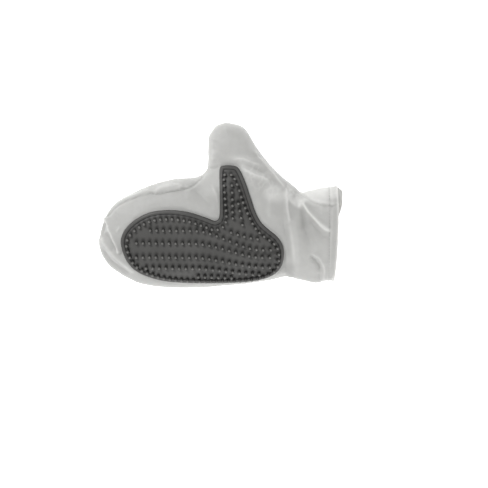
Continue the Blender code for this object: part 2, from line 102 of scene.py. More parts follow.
floor_material = bpy.data.materials.new("floor_paper")
floor_material.use_nodes = True
floor_shader = floor_material.node_tree.nodes["Principled BSDF"]
floor_shader.inputs["Base Color"].default_value = (0.9, 0.9, 0.9, 1)
floor_shader.inputs["Roughness"].default_value = 0.9
floor_shader.inputs["Emission Color"].default_value = (1, 1, 1, 1)
floor_shader.inputs["Emission Strength"].default_value = 0.8

FLOOR_HALF, FLOOR_Z = 3.0, -0.0005
floor_mesh = bpy.data.meshes.new("floor")
floor_mesh.from_pydata(
    [(x * FLOOR_HALF, y * FLOOR_HALF, FLOOR_Z) for x, y in ((-1, -1), (1, -1), (1, 1), (-1, 1))],
    [], [(0, 1, 2, 3)])
floor_mesh.materials.append(floor_material)
floor = bpy.data.objects.new("floor", floor_mesh)
bpy.context.scene.collection.objects.link(floor)
print("stage ready")

# %% [markdown]
# ## The filled glove as two height fields
# The two cloth panels meet in a seam that runs round the thumb and the fingertips. A hand inside swells
# both panels away from the seam. So we draw the seam line once, as a smooth curve, and lift each panel
# by a swell that depends only on how far a point lies inside that line. All lengths below are in
# millimetres.

# %% Curves and distances
SEAM_Z = 22.0
# The seam line, from the thumb side of the mouth round the thumb and the fingertips to the other side.
OUTLINE = (
    (113.4, 19.4), (100, 17.4), (88, 14.8), (78, 12.0), (71.5, 17.8), (62, 26.0), (52, 35.4),
    (43, 45.6), (36, 55.4), (30, 65.2), (25, 73.2), (20.5, 77.2), (13.6, 79.6), (4.9, 81.0),
    (0.2, 79.2), (-4.8, 77.2), (-8.4, 72.4), (-12.0, 67.2), (-12.4, 62.6), (-12.6, 56.0), (-12.9, 44.0),
    (-14.6, 34.0), (-23, 27.8), (-34, 26.8), (-46, 25.6), (-58, 23.0), (-70, 18.8), (-88, 10.8),
    (-104.4, 0.6), (-114.6, -14.5), (-119.4, -32.0), (-117.8, -47.0), (-109.4, -59.6), (-98.5, -67.6),
    (-84, -75.4), (-66, -79.6), (-44, -81.2), (-15, -80.6), (20, -77.8), (48, -73.6), (64, -70.4),
    (78, -73.4), (94, -76.6), (102, -75.2), (110.6, -75.0),
)
FRONT_MOUTH = ((110.6, -75.0), (112.2, -56.0), (113.6, -25.0), (114.2, 0.0), (113.4, 19.4))
SPLINE_STEPS, PATH_STEP, CHUNK = 16, 1.0, 3000


def smoothstep(low, high, value):
    t = np.clip((value - low) / (high - low), 0, 1)
    return t * t * (3 - 2 * t)


def curve_through(points, step, closed=False):
    """Evenly stepped smooth curve through the points."""
    pts = np.array(points, float)
    if closed:
        pts = np.vstack([pts[-1], pts, pts[:2]])
    else:
        pts = np.vstack([2 * pts[0] - pts[1], pts, 2 * pts[-1] - pts[-2]])
    fine = []
    for a, b, c, d in zip(pts[:-3], pts[1:-2], pts[2:-1], pts[3:]):
        for t in np.linspace(0, 1, SPLINE_STEPS, endpoint=False):
            fine.append(0.5 * (2 * b + (c - a) * t + (2 * a - 5 * b + 4 * c - d) * t * t
                               + (3 * b - a - 3 * c + d) * t ** 3))
    fine.append(pts[-2])
    return evenly(np.array(fine), step)


def evenly(line, step):
    """The same line with its points about one step apart."""
    run = np.concatenate([[0], np.cumsum(np.linalg.norm(np.diff(line, axis=0), axis=1))])
    at = np.linspace(0, run[-1], max(2, int(round(run[-1] / step)) + 1))
    return np.stack([np.interp(at, run, line[:, k]) for k in range(line.shape[1])], axis=1)


def nearest_on(line, points):
    """Distance to the line, positive on its right-hand side, and the share of the way along it."""
    a, span = line[:-1], np.diff(line, axis=0)
    size = (span * span).sum(-1)
    signed, share = np.empty(len(points)), np.empty(len(points))
    for first in range(0, len(points), CHUNK):
        part = points[first:first + CHUNK]
        offset = part[:, None, :] - a[None]
        t = np.clip((offset * span).sum(-1) / size, 0, 1)
        gap = offset - t[..., None] * span
        far = np.linalg.norm(gap, axis=-1)
        k = far.argmin(axis=1)
        rows = np.arange(len(part))
        turn = span[k, 0] * gap[rows, k, 1] - span[k, 1] * gap[rows, k, 0]
        signed[first:first + CHUNK] = far[rows, k] * np.where(turn > 0, -1, 1)
        share[first:first + CHUNK] = (k + t[rows, k]) / len(a)
    return signed, share


def inside(loop, points):
    """True for the points that lie within the loop."""
    x, y = points[:, 0], points[:, 1]
    hit = np.zeros(len(points), bool)
    for (x1, y1), (x2, y2) in zip(loop, np.roll(loop, -1, axis=0)):
        crosses = (y1 > y) != (y2 > y)
        hit ^= crosses & (x < (x2 - x1) * (y - y1) / (y2 - y1 + 1e-12) + x1)
    return hit


CLOTH_STEP = 1.15
seam = curve_through(OUTLINE, CLOTH_STEP)
print("seam line", len(seam), "points")

# %% The swell of each panel
STATION_X = (-120.0, -80.0, -25.0, 40.0, 74.0, 112.0)
PALM_RISE = (15.0, 20.0, 24.0, 23.0, 16.0, 22.0)
BACK_DROP = (11.0, 17.0, 22.6, 22.6, 15.5, 20.6)
BODY_SHOULDER, THUMB_SHOULDER = 34.0, 19.0
THUMB_PALM_RISE, THUMB_BACK_DROP = 17.0, 16.0
SWELL_POWER = 2.15
BACK_FLAT = 0.3
THUMB_FROM_Y, THUMB_WHOLE_Y = 12, 44


def along_glove(values, x):
    out = np.full(np.shape(x), float(values[0]))
    for x0, x1, v0, v1 in zip(STATION_X, STATION_X[1:], values, values[1:]):
        out = out + (v1 - v0) * smoothstep(x0, x1, x)
    return out


def swell(points, values, thumb_value):
    depth = np.abs(nearest_on(seam, points)[0])
    on_thumb = smoothstep(THUMB_FROM_Y, THUMB_WHOLE_Y, points[:, 1])
    shoulder = BODY_SHOULDER + (THUMB_SHOULDER - BODY_SHOULDER) * on_thumb
    height = along_glove(values, points[:, 0])
    height = height + (thumb_value - height) * on_thumb
    share = np.clip(depth / shoulder, 0, 1)
    return height * (1 - (1 - share) ** SWELL_POWER) ** (1 / SWELL_POWER)


def palm_height(points):
    return SEAM_Z + swell(points, PALM_RISE, THUMB_PALM_RISE)


def back_height(points):
    return np.maximum(SEAM_Z - swell(points, BACK_DROP, THUMB_BACK_DROP), BACK_FLAT)


print("palm height at the middle", palm_height(np.array([[0.0, -35.0]])).round(1))

# %% [markdown]
# ## Cloth as a fine triangle net
# A constrained Delaunay net fills the outline. Rows of points follow the seam closely, where the cloth
# turns steeply from the palm to the back, and an even stagger of points fills the rest. Both panels use
# the same net, and share the points of the seam, so the glove is one bag that is open only at the cuff.

# %% Net of points inside the outline
RING_DEPTHS = (0.10, 0.42, 0.95, 1.7, 2.7, 3.9, 5.3, 6.9, 8.6)
RING_SHARE, LOOP_SHARE, GRID_SHARE = 0.93, 0.7, 0.6
ROW_SHARE = 0.866


def left_normals(line, closed=False):
    ahead = np.roll(line, -1, axis=0) - np.roll(line, 1, axis=0) if closed else np.gradient(line, axis=0)
    ahead = ahead / np.linalg.norm(ahead, axis=1)[:, None]
    return np.column_stack([-ahead[:, 1], ahead[:, 0]])


def staggered_grid(loop, step):
    low, high = loop.min(axis=0), loop.max(axis=0)
    rows = np.arange(low[1], high[1], step * ROW_SHARE)
    columns = np.arange(low[0], high[0], step)
    grid = np.array([(x + 0.5 * step * (r % 2), y) for r, y in enumerate(rows) for x in columns])
    return grid[inside(loop, grid)]


def net_inside(loop, ring_line, depths, step):
    """Points and triangles that fill the loop: the loop's own points, rows beside ring_line, a grid."""
    normals = left_normals(ring_line)
    extra = []
    for depth in depths:
        ring = ring_line + depth * normals
        ring = ring[np.abs(nearest_on(ring_line, ring)[0]) > RING_SHARE * depth]
        ring = ring[inside(loop, ring)]
        edge = np.abs(nearest_on(np.vstack([loop, loop[:1]]), ring)[0])
        extra.append(ring[edge > LOOP_SHARE * depth])
    grid = staggered_grid(loop, step)
    edge = np.abs(nearest_on(np.vstack([loop, loop[:1]]), grid)[0])
    away = np.abs(nearest_on(ring_line, grid)[0])
    last = depths[-1] if len(depths) else 0
    grid = grid[(edge > GRID_SHARE * step) & (away > last + GRID_SHARE * step)]
    extra = np.vstack(extra + [grid])
    points = [Vector(p) for p in np.vstack([loop, extra])]
    edges = [(i, (i + 1) % len(loop)) for i in range(len(loop))]
    co, _, faces, _, _, _ = delaunay_2d_cdt(points, edges, [], 0, 1e-6)
    co = np.array([tuple(c) for c in co])
    faces = np.array([tuple(f) for f in faces])
    faces = faces[inside(loop, co[faces].mean(axis=1))]
    u, v = co[faces[:, 1]] - co[faces[:, 0]], co[faces[:, 2]] - co[faces[:, 0]]
    back_to_front = u[:, 0] * v[:, 1] - u[:, 1] * v[:, 0] < 0
    faces[back_to_front] = faces[back_to_front][:, ::-1]
    return co, faces


mouth_line = curve_through(FRONT_MOUTH, CLOTH_STEP)
glove_loop = np.vstack([seam, mouth_line[1:-1]])
net, net_faces = net_inside(glove_loop, seam, RING_DEPTHS, CLOTH_STEP)
print("net", len(net), "points", len(net_faces), "triangles")

# %% Palm and back from the net
# Between these lines the back reaches a little further out than the palm, and its inside shows as a lip.
BACK_LIP, LIP_START, MOUTH_X = 5.4, 92, 113
LIP_LOW, LIP_HIGH = (-24, 3), (18.6, 12)
seam_count, net_count = len(seam), len(net)
back_net = net[seam_count:].copy()
lip = BACK_LIP * smoothstep(*LIP_LOW, back_net[:, 1]) * smoothstep(*LIP_HIGH, back_net[:, 1])
back_net[:, 0] += lip * smoothstep(LIP_START, MOUTH_X, back_net[:, 0])
palm_points = np.column_stack([net, palm_height(net)])
palm_points[:seam_count, 2] = SEAM_Z
back_points = np.column_stack([back_net, back_height(net[seam_count:])])
cloth = np.vstack([palm_points, back_points])
to_back = np.concatenate([np.arange(seam_count), net_count + np.arange(net_count - seam_count)])
cloth_faces = np.vstack([net_faces, to_back[net_faces][:, ::-1]])
on_back = np.zeros(len(cloth), bool)
on_back[net_count:] = True
plan = np.vstack([net, back_net])
print("cloth", len(cloth), "points")


def point_normals(points, faces):
    a, b, c = points[faces[:, 0]], points[faces[:, 1]], points[faces[:, 2]]
    face = np.cross(b - a, c - a)
    out = np.zeros_like(points)
    for k in range(3):
        np.add.at(out, faces[:, k], face)
    return out / (np.linalg.norm(out, axis=1)[:, None] + 1e-12)


# %% [markdown]
# ## Folds, puckers and seams
# Thin coated cloth does not stretch, so spare cloth stands up in folds. Each fold is a stroke: a line
# on the palm with a height and a width on either side. A steep side next to a gentle side makes a fold
# that leans.

# %% Strokes
ROUND_SHARE, SHARP_SHARE, SHARP_WIDTH = 0.35, 0.65, 0.8
CREST_SHARE, CREST_LEAST, CREST_MOST = 0.15, 0.9, 1.6


def stroke(points, path, left, right, fade):
    """Two shares along a line, faded at its ends: a wide one that lifts the cloth, and its crest."""
    far, share = nearest_on(curve_through(path, PATH_STEP), points)
    width = np.where(far > 0, right, left)
    ridge = (ROUND_SHARE * np.exp(-(far / width) ** 2)
             + SHARP_SHARE * np.exp(-np.abs(far) / (SHARP_WIDTH * width)))
    ends = smoothstep(0, fade, share + 1e-9) * smoothstep(1, 1 - fade, share)
    crest_width = np.clip(CREST_SHARE * (left + right), CREST_LEAST, CREST_MOST)
    return ridge * ends, np.exp(-(far / crest_width) ** 2) * ends


print("crests between", CREST_LEAST, "and", CREST_MOST, "mm wide")

# %% Folds of the palm
# Each palm fold: its path, height, width to the left and to the right of the path, and fade at the ends.
PALM_FOLDS = {
    "tip ridge": (((-113.4, -11.0), (-108.8, -21.5), (-104.8, -31), (-100.8, -40.6), (-98.4, -46.5)),
                  2.2, 4.4, 1.6, 0.06),
    "tip hollow": (((-113.2, -25), (-107.8, -34.8), (-101, -44.2)), -1.8, 2.6, 3.2, 0.2),
    "tip edge hollow": (((-111, -15), (-115.2, -24), (-117.2, -31)), -1.5, 1.6, 2.2, 0.2),
    "tip ridge two": (((-116.6, -29.5), (-113.5, -36.5), (-110, -41), (-103.9, -48.2), (-95.3, -55.4),
                       (-83, -65.2)), 1.6, 3.0, 4.5, 0.10),
    "tip lower hollow": (((-117.4, -38.5), (-107.6, -52.3), (-96.5, -60.7), (-85.5, -66.9)),
                         -1.2, 2.0, 2.6, 0.2),
    "tip streak": (((-101.6, -26), (-97.8, -18.7)), 0.8, 1.4, 1.6, 0.3),
    "tip nick": (((-103.8, -4.6), (-97.8, -10.4)), -0.5, 0.8, 1.0, 0.3),
    "finger roll": (((-66, 14.2), (-57, 18.0), (-45, 20.4), (-34, 18.8)), 1.6, 1.9, 3.0, 0.2),
    "finger roll slope": (((-98, 4.6), (-86, 9.8), (-75, 13.6), (-66, 15.8)), 0.8, 1.3, 1.5, 0.2),
    "web hollow": (((-29, 18.6), (-18.4, 11.2), (-5.4, -4.6)), -0.8, 5.2, 4.6, 0.35),
    "web rise": (((-10, 24), (-4.2, 12), (-3.4, 2)), 0.7, 2.6, 5.0, 0.3),
    "thumb crease": (((-13.6, 36), (-7, 37.6), (-1.4, 40.2)), -1.0, 0.9, 1.8, 0.15),
    "thumb rise": (((-6.4, 56), (-7.2, 42.5)), 0.8, 3.4, 2.8, 0.3),
    "thumb tip facet": (((-12, 67), (-4, 77), (4.5, 80)), 0.5, 2.0, 3.5, 0.2),
    "pull one": (((9.6, 45.6), (20.3, 47.4), (30, 43.2), (42, 38.2)), 1.2, 1.5, 4.0, 0.3),
    "pull two": (((19.8, 39.8), (27.9, 33.6), (35.5, 30.2), (41, 28.2), (50, 22.5)),
                 1.5, 1.6, 4.6, 0.25),
    "pull hollow": (((18.6, 43.4), (31.1, 39.2), (48, 29)), -0.9, 1.8, 1.8, 0.3),
    "thumb crease two": (((24, 50.8), (35, 48.8), (45.5, 46.2)), -0.8, 3.5, 1.5, 0.35),
    "plateau edge": (((40, 13.4), (52, 12.2), (63, 12.8)), 0.4, 8.0, 1.8, 0.3),
    "outer shoulder": (((31.6, 56.4), (36.4, 47.6), (42.8, 39.8), (50, 31.2), (56.4, 24), (62.8, 17)),
                       1.6, 1.0, 3.6, 0.1),
    "wrist ridge": (((62.8, 19.5), (63.4, 9), (64.2, -2), (66.8, -16)), 1.7, 4.5, 2.0, 0.14),
    "wrist ridge foot": (((64.2, -4), (67.2, -20.5), (70.3, -42.3), (71.4, -64)), 0.9, 7.5, 6.0, 0.35),
    "wrist slot": (((79.4, 1.5), (79.0, -6), (80.0, -24)), -0.8, 3.0, 2.6, 0.2),
    "heel hollow": (((59.5, -8), (62.2, -22), (64.4, -38), (64.6, -54)), -0.8, 2.6, 3.0, 0.25),
    "wrist hollow": (((79.4, 0.5), (79.8, -12), (82.4, -25), (89, -42)), -1.8, 7.5, 4.6, 0.4),
    "cuff diagonal": (((77.6, 6.2), (80.6, 1.4), (85.6, -5.2), (92.1, -11.7), (99.7, -19.0),
                       (107.6, -23.6)), 2.7, 6.4, 2.8, 0.12),
    "cuff diagonal foot": (((83, -10), (90, -20), (98, -28), (106, -31)), -1.4, 2.4, 5.0, 0.25),
    "cuff lower curl": (((86.0, -44.8), (94.3, -48.6), (98.7, -54.4), (100.8, -62), (100, -74)),
                        0.9, 4.4, 1.5, 0.14),
    "cuff lower slit": (((85.4, -47.2), (90.8, -51.6), (95.2, -57.6), (96.8, -64)), -1.9, 1.0, 2.2, 0.2),
    "cuff lower pinch": (((94.5, -64), (96.6, -73.5)), -1.3, 1.5, 1.6, 0.3),
    "heel wrinkle one": (((59.6, -62.8), (64.8, -67), (70, -71.4)), 1.1, 1.0, 1.1, 0.25),
    "heel wrinkle two": (((62.4, -58.6), (58.6, -64), (54, -69)), 0.8, 1.0, 1.2, 0.25),
    "heel wrinkle three": (((63.6, -60.4), (69, -65.6), (73, -70)), -0.8, 0.9, 1.2, 0.25),
    "cuff upper roll": (((79.5, 12.2), (88, 8.6), (98, 4.8), (108, 4.4)), 0.8, 2.6, 1.1, 0.12),
}
print("folds", len(PALM_FOLDS))

# %% [markdown]
# ### Seams on the palm side
# At the fingers and at the wrist the seam has rolled over onto the palm side. There it shows as a line:
# the thread pulls a narrow groove, the cloth puckers across it, and the allowance inside makes a soft
# roll.

# %% Sewn lines
FINGER_SEAM = ((-114.6, -14.5), (-105.4, -3.6), (-97.2, 2.6), (-86.7, 7.5), (-76.9, 11.2), (-69.6, 13.3),
               (-62.2, 12.5), (-54.9, 13.9), (-45.1, 15.6), (-37.7, 17.2), (-30.4, 19.2), (-22, 24.4),
               (-15.4, 31.0))
HEEL_SEAM = ((62.6, 20.4), (66.5, 14.5), (72.5, 8.4), (79.6, 2.0))
CUFF_SEAM = ((74.0, 12.6), (78.2, 10.8), (83.6, 8.0), (92.1, 3.9), (100.8, 1.8), (108.5, 1.5),
             (114.4, 3.2))
RIPPLE_REACH, ROLL_PLACE, ROLL_WIDTH = 3.6, 4.2, 3.2
PUCKER_DRIFT, DRIFT_LENGTH, SEAM_FADE = 1.7, 9.0, 0.06


def sewn_line(points, path, depth, width, pucker, pitch, roll):
    """Lift along a seam: a narrow groove, short puckers across it, and a soft roll on its left side."""
    line = curve_through(path, PATH_STEP)
    far, share = nearest_on(line, points)
    length = np.linalg.norm(np.diff(line, axis=0), axis=1).sum()
    ends = smoothstep(0, SEAM_FADE, share + 1e-9) * smoothstep(1.001, 1 - SEAM_FADE, share)
    groove = -depth * np.exp(-(far / width) ** 2)
    run = share * length
    wave = np.sin(run * 2 * math.pi / pitch + PUCKER_DRIFT * np.sin(run / DRIFT_LENGTH))
    ripple = pucker * wave * np.exp(-(np.abs(far) / RIPPLE_REACH) ** 1.5)
    swollen = roll * np.exp(-((far + ROLL_PLACE) / ROLL_WIDTH) ** 2)
    return (groove + ripple + swollen) * ends


print("seams on the palm", len(FINGER_SEAM), len(HEEL_SEAM), len(CUFF_SEAM), "points")

# %% Lift, painted highlight and painted shade along the folds and seams
FOLD_GAIN, CREST_HIGHLIGHT, HOLLOW_SHADE = 1.4, 0.42, 0.17
SEAM_SHADE_WIDTH, SEAM_LIGHT, SEAM_LIGHT_SHIFT, SEAM_LIGHT_WIDTH = 0.9, 0.42, (0.6, 2.0), 1.5
# Each sewn line: its path, how dark its painted shade is, then its depth, width, pucker, pucker pitch,
# and roll.
SEWN_LINES = (
    (FINGER_SEAM, 0.6, (1.5, 1.0, 0.10, 7.4, 0.35)),
    (HEEL_SEAM, 0.1, (0.9, 1.0, 0.35, 3.9, 0.5)),
    (CUFF_SEAM, 0.25, (0.9, 0.9, 0.15, 5.2, 0.3)),
)
palm_side = ~on_back
palm_plan = plan[palm_side]
mouth_gap = np.abs(nearest_on(mouth_line, np.vstack([net, net[seam_count:]]))[0])
lift = np.zeros(len(cloth))
painted_shading = np.zeros(len(cloth))
for path, height, left, right, fade in PALM_FOLDS.values():
    ridge, crest = stroke(palm_plan, path, left, right, fade)
    lift[palm_side] += FOLD_GAIN * height * ridge
    # Fold crests get a painted highlight, and fold hollows get painted shade.
    painted_shading[palm_side] += CREST_HIGHLIGHT * height * crest if height > 0 else HOLLOW_SHADE * height * ridge
for path, dark, shape in SEWN_LINES:
    # Painted shade along the seam's groove, and a painted highlight on the band beside it.
    painted_shading[palm_side] -= dark * stroke(palm_plan, path, SEAM_SHADE_WIDTH, SEAM_SHADE_WIDTH, 0.04)[0]
    beside = [(x + SEAM_LIGHT_SHIFT[0], y + SEAM_LIGHT_SHIFT[1]) for x, y in path]
    painted_shading[palm_side] += SEAM_LIGHT * stroke(palm_plan, beside, SEAM_LIGHT_WIDTH, SEAM_LIGHT_WIDTH, 0.1)[0]
    lift[palm_side] += sewn_line(palm_plan, path, *shape)
print("lift", round(lift.min(), 2), round(lift.max(), 2))

# %% Pucker where the heel seam meets the wrist
PUCKER_PLACE, PUCKER_HALF, PUCKER_GRAIN = (69.5, 10.5), (6.5, 5.0), 2.4
PUCKER_LIFT, PUCKER_HIGHLIGHT, PUCKER_BROAD_HIGHLIGHT = 1.6, 1.6, 0.55
pucker_near = np.exp(-(((plan - PUCKER_PLACE) / PUCKER_HALF) ** 2).sum(axis=1)) * palm_side
pucker = pucker_near * np.array(
    [abs(noise.noise(Vector((x / PUCKER_GRAIN, y / PUCKER_GRAIN, 1.0)))) for x, y in plan])
lift += PUCKER_LIFT * pucker
# Painted highlights on the pucker's crumples, and a broader painted highlight round the pucker.
painted_shading += PUCKER_HIGHLIGHT * pucker + PUCKER_BROAD_HIGHLIGHT * pucker_near
print("pucker up to", round(PUCKER_LIFT * pucker.max(), 2))

# %% [markdown]
# ### Patches of painted light and shade
# A few soft ovals paint light onto parts of the palm side, and paint shade where their strength is
# negative. They add to the stored painted shading, which the nylon reads as a change of its colour.

# %% Ovals of painted light and shade
# Each oval: its middle, half sizes, turn in degrees, and strength, negative where shade is painted.
PAINTED_LIGHT_PATCHES = (
    ((52, 13.0), (11, 8.0), -22, 0.60), ((71.5, 5.5), (9.0, 3.8), -42, 0.85),
    ((101, -19.5), (8, 2.8), -36, 0.3), ((87.5, 4.6), (10.5, 3.0), -16, 0.45),
    ((98, 12.0), (17, 6.5), 4, 0.75), ((72.4, -38), (3.6, 25), 4, 0.28),
    ((79.8, -9), (3.2, 12), 0, -0.2), ((31, 33.5), (15, 4.0), -30, 0.42),
    ((46.6, 0), (2.4, 10), 0, 0.14), ((20, 47.5), (11, 3.0), -4, 0.30),
    ((66, -62), (6, 7), 0, -0.25),
)


def patch_share(points, middle, half, turn):
    """Share of a soft-edged oval patch, nearly level inside it."""
    c, n = math.cos(math.radians(turn)), math.sin(math.radians(turn))
    x, y = (points - middle).T
    r2 = ((x * c + y * n) / half[0]) ** 2 + ((y * c - x * n) / half[1]) ** 2
    return np.exp(-r2 ** 2)


for middle, half, turn, strength in PAINTED_LIGHT_PATCHES:
    # Painted light in each oval, or painted shade where its strength is negative.
    painted_shading[palm_side] += strength * patch_share(palm_plan, middle, half, turn)
print("painted_shading", round(painted_shading.min(), 2), round(painted_shading.max(), 2))

# %% [markdown]
# ### The sewn edge, the hem and the gather
# Round the thumb and along the lower side the seam stays at the edge, pulls the cloth in and puckers
# it. The hem leaves a bead and a stitched groove round the mouth. The elastic gathers the back into
# pleats.

# %% Sewn edge
EDGE_HALF_HEIGHT, EDGE_WIDTH = 1.5, 2.5
EDGE_PULL, EDGE_PUCKER, EDGE_WAVES = 0.9, 0.3, (480, 97)
EDGE_SHADE, EDGE_SHADE_WIDTH = 0.55, 1.1
# Where the seam has rolled onto the palm side: by the fingers, and from the wrist to the mouth.
ROLLED_ABOVE_Y, FINGERS_FROM_X, FINGERS_TO_X, WRIST_FROM_X = -20, (-118, -108), (-14, -20), (58, 66)

edge_depth, edge_share = nearest_on(seam, plan)
edge_depth = np.abs(edge_depth)
near_edge = np.exp(-((cloth[:, 2] - SEAM_Z) / EDGE_HALF_HEIGHT) ** 2)
near_edge = near_edge * np.exp(-(edge_depth / EDGE_WIDTH) ** 2)
at_fingers = smoothstep(*FINGERS_FROM_X, plan[:, 0]) * smoothstep(*FINGERS_TO_X, plan[:, 0])
at_wrist = smoothstep(*WRIST_FROM_X, plan[:, 0])
rolled = (at_fingers + at_wrist) * (plan[:, 1] > ROLLED_ABOVE_Y)
sewn_edge = near_edge * (1 - np.clip(rolled, 0, 1))
puckers = EDGE_PUCKER * np.sin(edge_share * EDGE_WAVES[0]) * np.sin(edge_share * EDGE_WAVES[1])
lift -= (EDGE_PULL + puckers) * sewn_edge
# Painted shade along the valley where the sewn edge pulls the cloth in.
painted_shading -= EDGE_SHADE * sewn_edge * np.exp(-(edge_depth / EDGE_SHADE_WIDTH) ** 2)
print("sewn edge", int((sewn_edge > 0.5).sum()), "points")

# %% Hem at the mouth, and pleats of the gather
LIP_PAINTED_LIGHT, LIP_PAINTED_LIGHT_X = 0.9, (100, 110)
BEAD_LIFT, BEAD_PLACE, BEAD_WIDTH = 0.6, 0.5, 0.8
BEAD_HIGHLIGHT_WIDTH = 1.2
HEM_LINE, HEM_GROOVE, HEM_GROOVE_WIDTH = 6.4, 0.45, 0.7
HEM_HIGHLIGHT, HEM_HIGHLIGHT_WIDTH = 0.25, 0.9
GATHER_X, GATHER_WIDTH, PLEAT_LIFT, PLEAT_PITCH = 73, 9.0, 1.3, 8.2
PLEAT_WANDER, WANDER_LENGTH, PLEAT_SLANT = 1.4, 7.0, 0.05

# Painted light on the back's lip near the mouth, whose inside lies in shade.
painted_shading += LIP_PAINTED_LIGHT * on_back * smoothstep(*LIP_PAINTED_LIGHT_X, plan[:, 0])
gather = np.exp(-((plan[:, 0] - GATHER_X) / GATHER_WIDTH) ** 2)
pleat = np.sin(plan[:, 1] * 2 * math.pi / PLEAT_PITCH + PLEAT_WANDER * np.sin(plan[:, 1] / WANDER_LENGTH)
               + plan[:, 0] * PLEAT_SLANT)
bead = np.exp(-((mouth_gap - BEAD_PLACE) / BEAD_WIDTH) ** 2)
bead -= HEM_GROOVE * np.exp(-((mouth_gap - HEM_LINE) / HEM_GROOVE_WIDTH) ** 2)
lift += BEAD_LIFT * bead
# Painted highlights on the bead at the mouth's edge and along the hem line.
painted_shading += np.exp(-(mouth_gap / BEAD_HIGHLIGHT_WIDTH) ** 2)
painted_shading += HEM_HIGHLIGHT * np.exp(-((mouth_gap - HEM_LINE) / HEM_HIGHLIGHT_WIDTH) ** 2)
lift += gather * pleat * np.where(on_back, PLEAT_LIFT, 0.0)
print("lift with hem and pleats", round(lift.min(), 2), round(lift.max(), 2))

# %% [markdown]
# ### Creases beside the pad
# The pad is bonded to the palm, and the cloth under it stays smooth. So we need the pad's outline
# before the last creases, which fade as they come near it. They come from noise: broad ones everywhere,
# and a fine rumple with sharp crests in the two places where the cloth is pushed together.

# %% Outline of the pad
PAD_EDGE_STEP = 1.2
PAD_OUTLINE = (
    (-96.8, -36.0), (-95.2, -26.6), (-90.2, -18.6), (-82.4, -11.8), (-71.5, -6.0), (-60, -3.2),
    (-46, -2.4), (-30, -4.4), (-14, -9.6), (-5.6, -12.6), (-1.6, -9.6), (-1.0, 0.0), (-1.0, 19.0),
    (-0.8, 36.4), (2.4, 40.2), (12.4, 40.2), (18.0, 36.8), (24, 24.0), (28.8, 10.0), (33.4, -3.6),
    (39.0, -14.0), (46.6, -21.4), (54.4, -28.2), (59.4, -36.0), (61, -46.0), (58.6, -57.6), (50, -66.4),
    (34, -71.4), (10, -73.5), (-21, -73.7), (-52, -72.2), (-71, -67.6), (-84, -60.8), (-92.4, -50.2),
)
pad_edge = curve_through(PAD_OUTLINE, PAD_EDGE_STEP, closed=True)[::-1]
to_pad = np.abs(nearest_on(pad_edge, plan)[0]) * np.where(inside(pad_edge[:-1], plan), -1, 1)
print("pad edge", len(pad_edge), "points")

# %% Creases from noise
CREASE_LEVEL = 0.55
BROAD_CREASE, FINE_CREASE, FINE_SHARE = (17.0, 3.1), (8.0, 7.7), 0.30
CREASE_AT_FINGERS, CREASE_MORE_AT_CUFF, CREASE_X = 0.55, 0.6, (30, 70)
# Each rumpled place: its middle, half sizes, turn in degrees, and strength.
RUMPLED_PLACES = (((38, 28), (26, 12), -38, 1.0), ((72, 5), (9, 6), -38, 1.3))
RUMPLE_CREASE, RUMPLE_LEVEL, RUMPLE_HIGHLIGHT = (5.4, 5.2), 0.05, 0.8


def creased(points, scale, seed):
    """Soft creases: narrow crests between flat parts."""
    out = np.empty(len(points))
    for i, p in enumerate(points):
        spot = Vector((p[0] / scale + seed, p[1] / scale, p[2] / scale))
        out[i] = 1 - 2 * abs(noise.noise(spot)) - CREASE_LEVEL
    return out


crease = creased(cloth, *BROAD_CREASE) + creased(cloth, *FINE_CREASE) * FINE_SHARE
crease *= CREASE_AT_FINGERS + CREASE_MORE_AT_CUFF * smoothstep(*CREASE_X, plan[:, 0])
rumpled = sum(strength * patch_share(plan, *place) for *place, strength in RUMPLED_PLACES)
rumple = np.maximum(creased(cloth, *RUMPLE_CREASE) - RUMPLE_LEVEL, 0) * rumpled * palm_side
crease += rumple
# Painted highlights on the rumple's sharp crests.
painted_shading += RUMPLE_HIGHLIGHT * rumple
print("crease", round(crease.min(), 2), round(crease.max(), 2))

# %% The shaped bag
CREASE_GAIN, CREASE_FADE, FOLD_FADE = 0.55, (0.5, 6.0), (-0.5, 2.5)
BACK_CALM, BACK_CALM_HEIGHT, LOWEST_Z = 0.4, 3.0, 0.15

free = smoothstep(*CREASE_FADE, to_pad)
free[on_back] = 1.0
lift = lift * np.where(on_back, 1, smoothstep(*FOLD_FADE, to_pad)) + crease * free * CREASE_GAIN
lift[on_back] *= smoothstep(0.0, BACK_CALM_HEIGHT, cloth[on_back, 2] - BACK_FLAT + BACK_CALM)
shell = cloth + point_normals(cloth, cloth_faces) * lift[:, None]
shell[:, 2] = np.maximum(shell[:, 2], LOWEST_Z)
print("shell", shell.min(axis=0).round(1), shell.max(axis=0).round(1))

# %% [markdown]
# ## From net to cloth with a thickness
# The net becomes a double wall: the outer face, an inner face half a millimetre below it, and a rim.
# Near the mouth the inner face drops further, because the cuff's edge is turned in and sewn down as a
# hem. The bag is cut at the wrist gather into a hand piece and a cuff piece. Both keep the normals of
# the whole bag, and the cut stays invisible.

# %% Double-walled pieces
CUT_X = 66.5
CLOTH_THICK = 0.45
HEM_DEPTH, HEM_STEP, HEM_SLOPE = 8.5, 0.7, 0.6


def link_mesh(name, points, faces, material):
    """A smooth-shaded piece from points in millimetres."""
    mesh = bpy.data.meshes.new(name)
    corners = [tuple(map(int, f)) for f in faces]
    mesh.from_pydata([tuple(p) for p in np.asarray(points) * MM], [], corners)
    mesh.polygons.foreach_set("use_smooth", [True] * len(mesh.polygons))
    mesh.materials.append(material)
    mesh.update()
    piece = bpy.data.objects.new(name, mesh)
    bpy.context.scene.collection.objects.link(piece)
    return piece


def store_share(mesh, name, values):
    attribute = mesh.attributes.new(name, "FLOAT", "POINT")
    attribute.data.foreach_set("value", np.asarray(values, np.float32))


